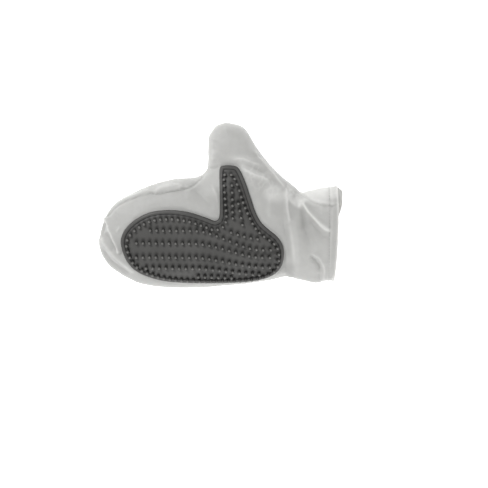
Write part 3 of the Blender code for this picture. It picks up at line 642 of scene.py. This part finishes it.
def boundary_edges(faces):
    """Directed edges that only one face uses."""
    edges = np.concatenate([faces[:, [0, 1]], faces[:, [1, 2]], faces[:, [2, 0]]])
    key = np.sort(edges, axis=1)
    _, index, count = np.unique(key, axis=0, return_inverse=True, return_counts=True)
    return edges[count[index.reshape(-1)] == 1]


def closed_wall(faces, count):
    """Faces of a closed wall. Its points are count outer ones, and then as many inner ones."""
    outer = [tuple(f) for f in faces]
    inner = [(a + count, c + count, b + count) for a, b, c in faces]
    rim = [(b, a, a + count, b + count) for a, b in boundary_edges(faces)]
    return outer + inner + rim


def double_wall(name, keep, material):
    """The kept triangles as a closed wall, with their painted light and shade, flat cut as UV, and the
    bag's normals.
    """
    faces = cloth_faces[keep]
    used, small = np.unique(faces, return_inverse=True)
    small = small.reshape(-1, 3)
    outer, up = shell[used], shell_normals[used]
    from_mouth = mouth_gap[used]
    thick = CLOTH_THICK + HEM_STEP * smoothstep(HEM_DEPTH + HEM_SLOPE, HEM_DEPTH - HEM_SLOPE, from_mouth)
    inner = outer - up * thick[:, None]
    piece = link_mesh(name, np.vstack([outer, inner]), closed_wall(small, len(used)), material)
    flat = np.vstack([plan[used], plan[used]]) * MM
    store_share(piece.data, "painted_shading", np.tile(np.clip(painted_shading[used], -1, 1), 2))
    layer = piece.data.uv_layers.new(name="cut")
    corner = np.empty(len(piece.data.loops), np.int32)
    piece.data.loops.foreach_get("vertex_index", corner)
    layer.data.foreach_set("uv", flat[corner].astype(np.float32).ravel())
    piece.data.normals_split_custom_set_from_vertices([tuple(n) for n in np.vstack([up, -up])])
    return piece


print("wall", CLOTH_THICK, "mm, at the hem", CLOTH_THICK + HEM_STEP, "mm")

# %% [markdown]
# ## Materials
# A small group makes the fine unevenness that both the coating and the rubber have. Each material then
# adds its own colours and roughness.

# %% Shared grain group
def build_grain_group():
    """Fine unevenness: a mask between 0 and 1 from two sizes of noise."""
    tree = bpy.data.node_groups.new("fine_grain", "ShaderNodeTree")
    tree.interface.new_socket("Vector", in_out="INPUT", socket_type="NodeSocketVector")
    tree.interface.new_socket("Coarse Scale", in_out="INPUT", socket_type="NodeSocketFloat")
    tree.interface.new_socket("Fine Scale", in_out="INPUT", socket_type="NodeSocketFloat")
    tree.interface.new_socket("Mask", in_out="OUTPUT", socket_type="NodeSocketFloat")
    give = tree.nodes.new("NodeGroupInput")
    take = tree.nodes.new("NodeGroupOutput")
    coarse = tree.nodes.new("ShaderNodeTexNoise")
    fine = tree.nodes.new("ShaderNodeTexNoise")
    mix = tree.nodes.new("ShaderNodeMath")
    mix.operation = "MULTIPLY_ADD"
    mix.inputs[1].default_value = 0.6
    half = tree.nodes.new("ShaderNodeMath")
    half.operation = "MULTIPLY"
    half.inputs[1].default_value = 0.4
    for texture, socket in ((coarse, "Coarse Scale"), (fine, "Fine Scale")):
        texture.inputs["Detail"].default_value = 3
        tree.links.new(give.outputs["Vector"], texture.inputs["Vector"])
        tree.links.new(give.outputs[socket], texture.inputs["Scale"])
    tree.links.new(fine.outputs["Fac"], half.inputs[0])
    tree.links.new(coarse.outputs["Fac"], mix.inputs[0])
    tree.links.new(half.outputs[0], mix.inputs[2])
    tree.links.new(mix.outputs[0], take.inputs["Mask"])
    return tree


grain_group = build_grain_group()
print("group", grain_group.name, "nodes", len(grain_group.nodes))


# %% Helpers for materials
def new_material(name, roughness, specular, sheen=0.0):
    material = bpy.data.materials.new(name)
    material.use_nodes = True
    shader = material.node_tree.nodes["Principled BSDF"]
    shader.inputs["Roughness"].default_value = roughness
    shader.inputs["Specular IOR Level"].default_value = specular
    shader.inputs["Sheen Weight"].default_value = sheen
    return material, material.node_tree, shader


def add_grain(tree, coordinates, coarse, fine):
    group = tree.nodes.new("ShaderNodeGroup")
    group.node_tree = grain_group
    group.inputs["Coarse Scale"].default_value = coarse
    group.inputs["Fine Scale"].default_value = fine
    tree.links.new(coordinates, group.inputs["Vector"])
    return group.outputs["Mask"]


def add_ramp(tree, source, stops):
    ramp = tree.nodes.new("ShaderNodeValToRGB")
    while len(ramp.color_ramp.elements) < len(stops):
        ramp.color_ramp.elements.new(0.5)
    for element, (place, colour) in zip(ramp.color_ramp.elements, stops):
        element.position = place
        element.color = (*colour, 1)
    tree.links.new(source, ramp.inputs["Fac"])
    return ramp.outputs["Color"]


def add_bump(tree, shader, height, strength, distance, normal=None):
    bump = tree.nodes.new("ShaderNodeBump")
    bump.inputs["Strength"].default_value = strength
    bump.inputs["Distance"].default_value = distance
    tree.links.new(height, bump.inputs["Height"])
    if normal is not None:
        tree.links.new(normal, bump.inputs["Normal"])
    tree.links.new(bump.outputs["Normal"], shader.inputs["Normal"])
    return bump.outputs["Normal"]


def mix_colours(tree, operation, first, second):
    mix = tree.nodes.new("ShaderNodeMix")
    mix.data_type, mix.blend_type = "RGBA", operation
    mix.inputs["Factor"].default_value = 1
    tree.links.new(first, mix.inputs[6])
    tree.links.new(second, mix.inputs[7])
    return mix.outputs[2]


def add_stored_shade(tree, colour, name, factors):
    """The colour times twice a factor that follows a stored share. The factors are for -1, 0 and 1."""
    stored = tree.nodes.new("ShaderNodeAttribute")
    stored.attribute_name = name
    spread = tree.nodes.new("ShaderNodeMapRange")
    spread.inputs["From Min"].default_value = -1
    spread.inputs["From Max"].default_value = 1
    tree.links.new(stored.outputs["Fac"], spread.inputs["Value"])
    ramp = add_ramp(tree, spread.outputs["Result"],
                    [(place, (f, f, f)) for place, f in zip((0.0, 0.5, 1.0), factors)])
    shaded = mix_colours(tree, "MULTIPLY", colour, ramp)
    return mix_colours(tree, "ADD", shaded, shaded)


print("material helpers ready")

# %% [markdown]
# ### Coated nylon
# The glove's cloth is woven nylon with a thin coating. Its sheen is soft and light scatters a little in
# it. Highlights on the crests and shade in the hollows and seams are painted into its colour from the
# stored painted shading. We could paint them by hand, but the stored share already knows the folds.
# The weave is two crossed waves laid along the panel's flat cut, too fine to see from afar.

# %% Nylon
WEAVE_SCALE = 620
# Colour factors for the stored painted light and shade: painted shade at -1, plain at 0, painted
# highlight at 1.
PAINTED_SHADING_FACTORS = (0.27, 0.5, 0.74)


def build_nylon(name, light, dark):
    material, tree, shader = new_material(name, roughness=0.5, specular=0.36, sheen=0.2)
    uv = tree.nodes.new("ShaderNodeUVMap")
    uv.uv_map = "cut"
    place = tree.nodes.new("ShaderNodeTexCoord")
    cloud = add_grain(tree, place.outputs["Object"], coarse=18, fine=160)
    tone = add_ramp(tree, cloud, ((0.30, dark), (0.70, light)))
    # Painted highlights and painted shade from the stored share brighten and darken the cloth's colour.
    colour_with_painted_light = add_stored_shade(tree, tone, "painted_shading", PAINTED_SHADING_FACTORS)
    tree.links.new(colour_with_painted_light, shader.inputs["Base Color"])
    shader.inputs["Subsurface Weight"].default_value = 0.35
    shader.inputs["Subsurface Radius"].default_value = (1, 1, 1)
    shader.inputs["Subsurface Scale"].default_value = 0.0012
    weave = []
    for angle in (0, math.pi / 2):
        turn = tree.nodes.new("ShaderNodeMapping")
        turn.inputs["Rotation"].default_value = (0, 0, angle)
        wave = tree.nodes.new("ShaderNodeTexWave")
        wave.inputs["Scale"].default_value = WEAVE_SCALE
        tree.links.new(uv.outputs["UV"], turn.inputs["Vector"])
        tree.links.new(turn.outputs["Vector"], wave.inputs["Vector"])
        weave.append(wave.outputs["Fac"])
    cross = tree.nodes.new("ShaderNodeMath")
    cross.operation = "MULTIPLY"
    tree.links.new(weave[0], cross.inputs[0])
    tree.links.new(weave[1], cross.inputs[1])
    crumple = add_grain(tree, place.outputs["Object"], coarse=75, fine=240)
    soft = add_bump(tree, shader, crumple, strength=0.35, distance=0.0016)
    add_bump(tree, shader, cross.outputs[0], strength=0.12, distance=0.0002, normal=soft)
    return material


nylon = build_nylon("coated_nylon", (0.56, 0.56, 0.545), (0.49, 0.49, 0.475))
print("nylon ready")

# %% Cut the bag into a hand piece and a cuff piece
shell_normals = point_normals(shell, cloth_faces)
in_cuff = plan[cloth_faces][:, :, 0].mean(axis=1) > CUT_X
hand_cloth = double_wall("hand_cloth", ~in_cuff, nylon)
cuff_cloth = double_wall("cuff_cloth", in_cuff, nylon)
print("hand", len(hand_cloth.data.polygons), "cuff", len(cuff_cloth.data.polygons), "faces")

# %% [markdown]
# ## The rubber pad
# The pad is one moulding: a thin slab that follows the palm, a smooth rim with a fine raised line
# inside it, and rows of short blunt pins. The slab is a second net, with rows of points along its edge
# for the rim.

# %% Slab
# Section through the rim: distance in from the edge, and height above the cloth.
RIM = (
    (0.0, 0.8), (0.2, 1.7), (0.8, 2.5), (1.5, 2.85), (3.2, 2.9),
    (3.5, 2.75), (3.85, 2.1), (4.3, 2.1), (4.8, 2.45),
)
RIM_END, SLAB_TOP, SLAB_FOOT, SLAB_STEP = 5.2, 2.5, 0.3, 1.5


def palm_normals(points):
    e = 0.8  # mm: half the base of the slope
    dx = (palm_height(points + [e, 0]) - palm_height(points - [e, 0])) / (2 * e)
    dy = (palm_height(points + [0, e]) - palm_height(points - [0, e])) / (2 * e)
    n = np.column_stack([-dx, -dy, np.ones(len(points))])
    return n / np.linalg.norm(n, axis=1)[:, None]


def on_palm(points, height):
    base = np.column_stack([points, palm_height(points)])
    return base + palm_normals(points) * np.asarray(height).reshape(-1, 1)


pad_loop = pad_edge[:-1]
slab, slab_faces = net_inside(pad_loop, pad_edge, [r[0] for r in RIM[1:]], SLAB_STEP)
slab_in = np.abs(nearest_on(pad_edge, slab)[0])
slab_in[:len(pad_loop)] = 0
slab_height = np.interp(slab_in, [r[0] for r in RIM] + [RIM_END], [r[1] for r in RIM] + [SLAB_TOP])
print("slab", len(slab), "points", len(slab_faces), "triangles")

# %% Pin places
PIN_PITCH, EDGE_PITCH, PIN_MARGIN, CROWDED = 6.4, 5.6, 6.6, 4.4
# Each row crosses the pad and bends down on its way: y at the left, y at the right, first x, last x.
PIN_ROWS = (
    (-14.5, -30.0, -3.0, 44.0), (-21.7, -40.6, -68.0, 56.0), (-34.2, -47.4, -88.0, 58.0),
    (-47.8, -56.4, -88.0, 58.0), (-57.8, -63.2, -72.0, 50.0), (-65.4, -66.8, -22.0, 12.0),
)
ROW_BEND = (-27.0, 40.0)
THUMB_COLUMNS = (((10.8, 27.0), (11.4, -9.5)), ((15.6, 11.5), (20.8, -16.0)))
# The edge row is set a little to the left on the thumb, and down: everywhere, above the foot, on
# the thumb.
EDGE_ROW_LEFT, EDGE_ROW_DOWN = 1.3, (1.3, 0.4, 1.5)
LEFT_FROM_Y, FOOT_Y, THUMB_Y = (-10, 8), (-70, -40), (10, 30)


def pin_places():
    """One row along the edge, then the cross rows and thumb columns wherever they do not crowd it."""
    inward = left_normals(pad_loop, closed=True)
    margin = PIN_MARGIN * np.clip(palm_normals(pad_loop + inward * 3)[:, 2], 0.5, 1)
    row = pad_loop + inward * margin[:, None]
    row = row[np.abs(nearest_on(pad_edge, row)[0]) > RING_SHARE * margin]
    row[:, 0] -= EDGE_ROW_LEFT * smoothstep(*LEFT_FROM_Y, row[:, 1])
    everywhere, off_the_foot, on_thumb = EDGE_ROW_DOWN
    row[:, 1] -= (everywhere + off_the_foot * smoothstep(*FOOT_Y, row[:, 1])
                  + on_thumb * smoothstep(*THUMB_Y, row[:, 1]))
    row = evenly(np.vstack([row, row[:1]]), EDGE_PITCH)[:-1]
    places = list(row)

    def add(p):
        gap = CROWDED * palm_normals(np.array([p]))[0, 2]
        if np.linalg.norm(np.array(places) - p, axis=1).min() > gap and inside(row, np.array([p]))[0]:
            places.append(p)

    for left, right, first, last in PIN_ROWS:
        for x in np.arange(first, last, PIN_PITCH):
            add(np.array((x, left + (right - left) * float(smoothstep(*ROW_BEND, x)))))
    for start, end in THUMB_COLUMNS:
        start, end = np.array(start), np.array(end)
        count = int(np.linalg.norm(end - start) / EDGE_PITCH)
        for k in range(count + 1):
            add(start + (end - start) * k / count)
    return np.array(places)


PIN_SUNK, PIN_LEAN = 0.25, (0.03, -0.12, 0)
pins = pin_places()
pin_roots = on_palm(pins, SLAB_TOP - PIN_SUNK)
pin_lean = palm_normals(pins) + np.array(PIN_LEAN)
pin_lean /= np.linalg.norm(pin_lean, axis=1)[:, None]
print("pins", len(pins))

# %% [markdown]
# ### Materials of the rubber, thread, elastic and glue
# The rubber is dark and matte, with a painted highlight on the pin tips and painted shade at roots and
# grooves. Thread, elastic and glue are small, but each one has its own grain.

# %% Rubber
# Colour factors for the stored shade: painted highlight at -1, plain at 0, painted shade at 1.
SHADE_FACTORS = (1.0, 0.46, 0.10)


def build_rubber():
    """Dark rubber. The stored shade paints shade onto roots and grooves, and below zero a highlight onto
    the pin tips.
    """
    material, tree, shader = new_material("grey_rubber", roughness=0.5, specular=0.4)
    place = tree.nodes.new("ShaderNodeTexCoord")
    tone = add_grain(tree, place.outputs["Object"], coarse=45, fine=900)
    base = add_ramp(tree, tone, ((0.3, (0.084, 0.083, 0.080)), (0.72, (0.118, 0.116, 0.111))))
    colour_with_painted_light = add_stored_shade(tree, base, "shade", SHADE_FACTORS)
    tree.links.new(colour_with_painted_light, shader.inputs["Base Color"])
    gloss = add_grain(tree, place.outputs["Object"], coarse=120, fine=1500)
    shine = add_ramp(tree, gloss, ((0.35, (0.42, 0.42, 0.42)), (0.7, (0.60, 0.60, 0.60))))
    tree.links.new(shine, shader.inputs["Roughness"])
    skin = add_grain(tree, place.outputs["Object"], coarse=1300, fine=3200)
    add_bump(tree, shader, skin, strength=0.25, distance=0.00015)
    return material


def build_plain(name, light, dark, roughness, scale):
    """Grainy finish of the small sewn and glued pieces."""
    material, tree, shader = new_material(name, roughness, specular=0.4, sheen=0.15)
    place = tree.nodes.new("ShaderNodeTexCoord")
    tone = add_grain(tree, place.outputs["Object"], scale, scale * 4)
    tree.links.new(add_ramp(tree, tone, ((0.3, dark), (0.7, light))), shader.inputs["Base Color"])
    add_bump(tree, shader, tone, strength=0.4, distance=0.0002)
    return material


rubber = build_rubber()
thread = build_plain("grey_thread", (0.50, 0.50, 0.49), (0.40, 0.40, 0.39), 0.7, 1400)
elastic = build_plain("white_elastic", (0.66, 0.66, 0.64), (0.5, 0.5, 0.48), 0.8, 700)
glue = build_plain("clear_adhesive", (0.58, 0.56, 0.5), (0.46, 0.44, 0.38), 0.3, 300)
print("small finishes ready")

# %% Slab mesh
PIT_SHIFT, PIT_WIDTH, PIT_DEPTH, PITS_FROM = (0.0, 1.7), 2.1, 0.35, 4.5
GROOVE_PLACE, GROOVE_WIDTH, FOOT_SHADE, FOOT_WIDTH = 4.0, 0.45, 0.7, 0.6
PIT_SHADE, PIT_SHADE_MORE, THUMB_PITS_Y = 0.75, 0.5, (-12, 4)

pit_gap = np.array([np.linalg.norm(pins + PIT_SHIFT - p, axis=1).min() for p in slab])
pit = np.exp(-(pit_gap / PIT_WIDTH) ** 2)
# Painted shade in the rim's inner groove and along the pad's outer foot.
groove = (np.exp(-((slab_in - GROOVE_PLACE) / GROOVE_WIDTH) ** 2)
          + FOOT_SHADE * np.exp(-(slab_in / FOOT_WIDTH) ** 2))
slab_height = slab_height - PIT_DEPTH * pit * (slab_in > PITS_FROM)
slab_points = np.vstack([on_palm(slab, slab_height), on_palm(slab, SLAB_FOOT)])
slab_piece = link_mesh("pad_slab", slab_points, closed_wall(slab_faces, len(slab)), rubber)
# Painted shade in the pits round the pin roots, stronger on the thumb.
pit_shade_strength = PIT_SHADE + PIT_SHADE_MORE * smoothstep(*THUMB_PITS_Y, slab[:, 1])
store_share(slab_piece.data, "shade", np.tile(np.clip(pit_shade_strength * pit + groove, 0, 1), 2))
print("slab piece", len(slab_piece.data.vertices), "vertices")

# %% [markdown]
# ## Pins by Geometry Nodes
# The real pins are moulded blunt cones, and all alike. So we describe one, as a ring profile that
# narrows and closes in a dome, and let a node tree set a copy at each pin place, turned along the
# direction the pin leans. The hem's stitches use the same tree later.

# %% One pin
PIN_BASE_R, PIN_HEIGHT, PIN_SIDES = 1.62, 4.1, 14
# Each ring: its radius as a share of the base, and its place up the pin.
PIN_RINGS = ((1.0, 0.0), (0.93, 0.35), (0.86, 0.66), (0.77, 0.84), (0.58, 0.95), (0.3, 1.0))


def ringed_mesh(rings, sides):
    """Rings of radius and rise, joined into a solid along Z and closed at both ends."""
    points, faces = [], []
    for radius, rise in rings:
        for k in range(sides):
            a = 2 * math.pi * k / sides
            points.append((radius * math.cos(a), radius * math.sin(a), rise))
    last = (len(rings) - 1) * sides
    for first in range(0, last, sides):
        for k in range(sides):
            m = (k + 1) % sides
            faces.append((first + k, first + m, first + sides + m, first + sides + k))
    faces.append(tuple(range(sides))[::-1])
    faces.append(tuple(last + k for k in range(sides)))
    return points, faces


pin_points, pin_faces = ringed_mesh(
    [(r * PIN_BASE_R, rise * PIN_HEIGHT) for r, rise in PIN_RINGS], PIN_SIDES)
print("one pin", len(pin_points), "points", len(pin_faces), "faces")


# %% Node tree that sets copies
def new_tree(name, inputs):
    tree = bpy.data.node_groups.new(name, "GeometryNodeTree")
    tree.interface.new_socket("Geometry", in_out="INPUT", socket_type="NodeSocketGeometry")
    for label, kind in inputs:
        tree.interface.new_socket(label, in_out="INPUT", socket_type=kind)
    tree.interface.new_socket("Geometry", in_out="OUTPUT", socket_type="NodeSocketGeometry")
    return tree, tree.nodes.new("NodeGroupInput"), tree.nodes.new("NodeGroupOutput")


def copies_on_points(name):
    """Tree that sets a chosen object on every point, turned by the stored rotation."""
    tree, give, take = new_tree(name, (("Copy", "NodeSocketObject"), ("Material", "NodeSocketMaterial")))
    source = tree.nodes.new("GeometryNodeObjectInfo")
    place = tree.nodes.new("GeometryNodeInstanceOnPoints")
    turn = tree.nodes.new("GeometryNodeInputNamedAttribute")
    turn.data_type = "FLOAT_VECTOR"
    turn.inputs["Name"].default_value = "turn"
    real = tree.nodes.new("GeometryNodeRealizeInstances")
    paint = tree.nodes.new("GeometryNodeSetMaterial")
    tree.links.new(give.outputs["Copy"], source.inputs["Object"])
    tree.links.new(give.outputs["Geometry"], place.inputs["Points"])
    tree.links.new(source.outputs["Geometry"], place.inputs["Instance"])
    tree.links.new(turn.outputs["Attribute"], place.inputs["Rotation"])
    tree.links.new(place.outputs["Instances"], real.inputs["Geometry"])
    tree.links.new(real.outputs["Geometry"], paint.inputs["Geometry"])
    tree.links.new(give.outputs["Material"], paint.inputs["Material"])
    tree.links.new(paint.outputs["Geometry"], take.inputs["Geometry"])
    return tree


copy_tree = copies_on_points("copies_on_points")
print("node tree", copy_tree.name)


# %% Copies of the pin
def scatter(name, places, turns, points, faces, shade, material):
    """Copies of a small mesh at the places, in millimetres, each with its Euler turn, as one mesh."""
    seed_mesh = bpy.data.meshes.new(name + "_seed")
    seed_mesh.from_pydata([tuple(c * MM for c in p) for p in points], [], faces)
    seed_mesh.polygons.foreach_set("use_smooth", [True] * len(seed_mesh.polygons))
    store_share(seed_mesh, "shade", shade)
    seed = bpy.data.objects.new(name + "_seed", seed_mesh)
    bpy.context.scene.collection.objects.link(seed)
    spots = bpy.data.meshes.new(name + "_spots")
    spots.from_pydata([tuple(p) for p in np.asarray(places) * MM], [], [])
    attribute = spots.attributes.new("turn", "FLOAT_VECTOR", "POINT")
    attribute.data.foreach_set("vector", np.asarray(turns, np.float32).ravel())
    carrier = bpy.data.objects.new(name + "_carrier", spots)
    bpy.context.scene.collection.objects.link(carrier)
    modifier = carrier.modifiers.new("copies", "NODES")
    modifier.node_group = copy_tree
    inputs = [item for item in copy_tree.interface.items_tree if item.in_out == "INPUT"]
    sockets = {item.name: item.identifier for item in inputs}
    modifier[sockets["Copy"]] = seed
    modifier[sockets["Material"]] = material
    bpy.context.view_layer.update()
    graph = bpy.context.evaluated_depsgraph_get()
    baked = bpy.data.meshes.new_from_object(carrier.evaluated_get(graph))
    baked.name = name
    piece = bpy.data.objects.new(name, baked)
    bpy.context.scene.collection.objects.link(piece)
    bpy.data.objects.remove(carrier, do_unlink=True)
    bpy.data.objects.remove(seed, do_unlink=True)
    return piece


def turn_to(direction):
    return tuple(Vector(direction).to_track_quat("Z", "Y").to_euler())


# The painted shade of a pin at its root, turning to a painted highlight at its tip.
SHADE_RISES, SHADE_VALUES = (0, 0.5, 0.8, 1), (1, 0.8, -0.05, -0.7)
pin_shade = np.interp([p[2] / PIN_HEIGHT for p in pin_points], SHADE_RISES, SHADE_VALUES)
pad_pins = scatter("pad_pins", pin_roots, [turn_to(d) for d in pin_lean], pin_points, pin_faces,
                   pin_shade, rubber)
print("pins", len(pins), "faces", len(pad_pins.data.polygons))

# %% [markdown]
# ## The small sewn pieces
# A film of adhesive lies under the pad. An elastic band inside the wrist makes the gather. The cuff's
# edge is turned in and held by a row of stitches.

# %% Adhesive film
GLUE_INSET, GLUE_TOP, GLUE_FOOT = 3.6, 0.28, 0.02
GLUE_EDGE_STEP, GLUE_STEP = 3.0, 4.0
glue_loop = evenly(np.vstack([pad_loop, pad_loop[:1]]), GLUE_EDGE_STEP)[:-1]
glue_loop = glue_loop + GLUE_INSET * left_normals(glue_loop, closed=True)
film, film_faces = net_inside(glue_loop, pad_edge, [], GLUE_STEP)
film_points = np.vstack([on_palm(film, GLUE_TOP), on_palm(film, GLUE_FOOT)])
adhesive_piece = link_mesh("adhesive_film", film_points, closed_wall(film_faces, len(film)), glue)
print("film", len(film_faces), "triangles on each side")

# %% Rings round the inside of the bag
RAY_FLATNESS, BAND_SIDES = 0.45, 120
shell_tree = BVHTree.FromPolygons([tuple(p) for p in shell], [tuple(f) for f in cloth_faces])


def ring_inside(x, count, inset):
    """Closed ring of points on the plane x, just inside the cloth, found by rays from the axis."""
    hits = [(p, q) for p, q in zip(seam, seam[1:]) if (p[0] - x) * (q[0] - x) <= 0 and p[0] != q[0]]
    ys = [p[1] + (q[1] - p[1]) * (x - p[0]) / (q[0] - p[0]) for p, q in hits]
    low, high = min(ys), max(ys)
    centre = Vector((x, (low + high) / 2, SEAM_Z))
    ring = []
    for k in range(count):
        a = 2 * math.pi * k / count
        way = Vector((0, math.cos(a), RAY_FLATNESS * math.sin(a))).normalized()
        hit = shell_tree.ray_cast(centre, way)[0]
        if hit is None:
            hit = centre + way * ((high - low) / 2)
        ring.append(hit - way * inset)
    return np.array([tuple(p) for p in ring])


def ring_band(name, stations, wall, material):
    """Closed band through rings at the stations (x, inset)."""
    count = BAND_SIDES
    rings = [ring_inside(x, count, inset) for x, inset in stations]
    rings += [ring_inside(x, count, inset + wall) for x, inset in reversed(stations)]
    faces = []
    for r in range(len(rings)):
        s = (r + 1) % len(rings)
        for k in range(count):
            m = (k + 1) % count
            faces.append((r * count + k, r * count + m, s * count + m, s * count + k))
    points = np.vstack(rings)
    halves = [(a, b, c) for a, b, c, _ in faces] + [(a, c, d) for a, _, c, d in faces]
    if sum(np.dot(points[a], np.cross(points[b], points[c])) for a, b, c in halves) < 0:
        faces = [f[::-1] for f in faces]
    return link_mesh(name, points, faces, material)


elastic_piece = ring_band("wrist_elastic_band", ((71, 1.6), (74, 1.8), (77, 1.6)), 0.7, elastic)
hem_piece = ring_band("cuff_hem_fold", ((103.0, 0.75), (105.5, 0.7), (108.6, 0.75)), 0.4, nylon)
print("inside bands ready")

# %% Hem stitches
STITCH_X, STITCH_PITCH, STITCH_LONG, STITCH_R = 105.2, 3.2, 2.3, 0.22
STITCH_PROUD, STITCH_SIDES, STITCH_RAYS = 0.12, 6, 400
STITCH_RINGS = ((0.35, -0.5), (1.0, -0.38), (1.0, 0.38), (0.35, 0.5))
hem_ring = ring_inside(STITCH_X, STITCH_RAYS, -STITCH_PROUD)
hem_path = evenly(np.vstack([hem_ring, hem_ring[:1]]), STITCH_PITCH)
stitch_places = (hem_path[:-1] + hem_path[1:]) / 2
stitch_ways = hem_path[1:] - hem_path[:-1]
dash_points, dash_faces = ringed_mesh(
    [(r * STITCH_R, rise * STITCH_LONG) for r, rise in STITCH_RINGS], STITCH_SIDES)
hem_stitches = scatter("hem_stitches", stitch_places, [turn_to(d) for d in stitch_ways],
                       dash_points, dash_faces, np.zeros(len(dash_points)), thread)
print("hem stitches", len(stitch_places))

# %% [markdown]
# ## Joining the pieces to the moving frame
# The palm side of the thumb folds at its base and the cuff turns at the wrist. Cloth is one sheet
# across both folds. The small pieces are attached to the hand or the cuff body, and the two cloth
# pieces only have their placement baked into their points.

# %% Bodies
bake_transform(hand_cloth)
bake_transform(cuff_cloth)
for piece, body in ((slab_piece, "hand"), (pad_pins, "hand"), (adhesive_piece, "hand"),
                    (elastic_piece, "hand"), (hem_piece, "cuff"), (hem_stitches, "cuff")):
    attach(piece, body)

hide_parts("palm_panel", "back_panel", "palm_panel_thumb", "back_panel_thumb", "thumb_fold",
            "seam_thread_fingers", "seam_thread_heel", "seam_thread_thumb")
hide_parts("palm_panel_cuff", "back_panel_cuff", "wrist_gather",
            "seam_thread_cuff_upper", "seam_thread_cuff_lower")
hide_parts("brush_pad")
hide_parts("pad_adhesive")
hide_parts("wrist_elastic")
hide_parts("cuff_hem")
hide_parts("hem_stitching")
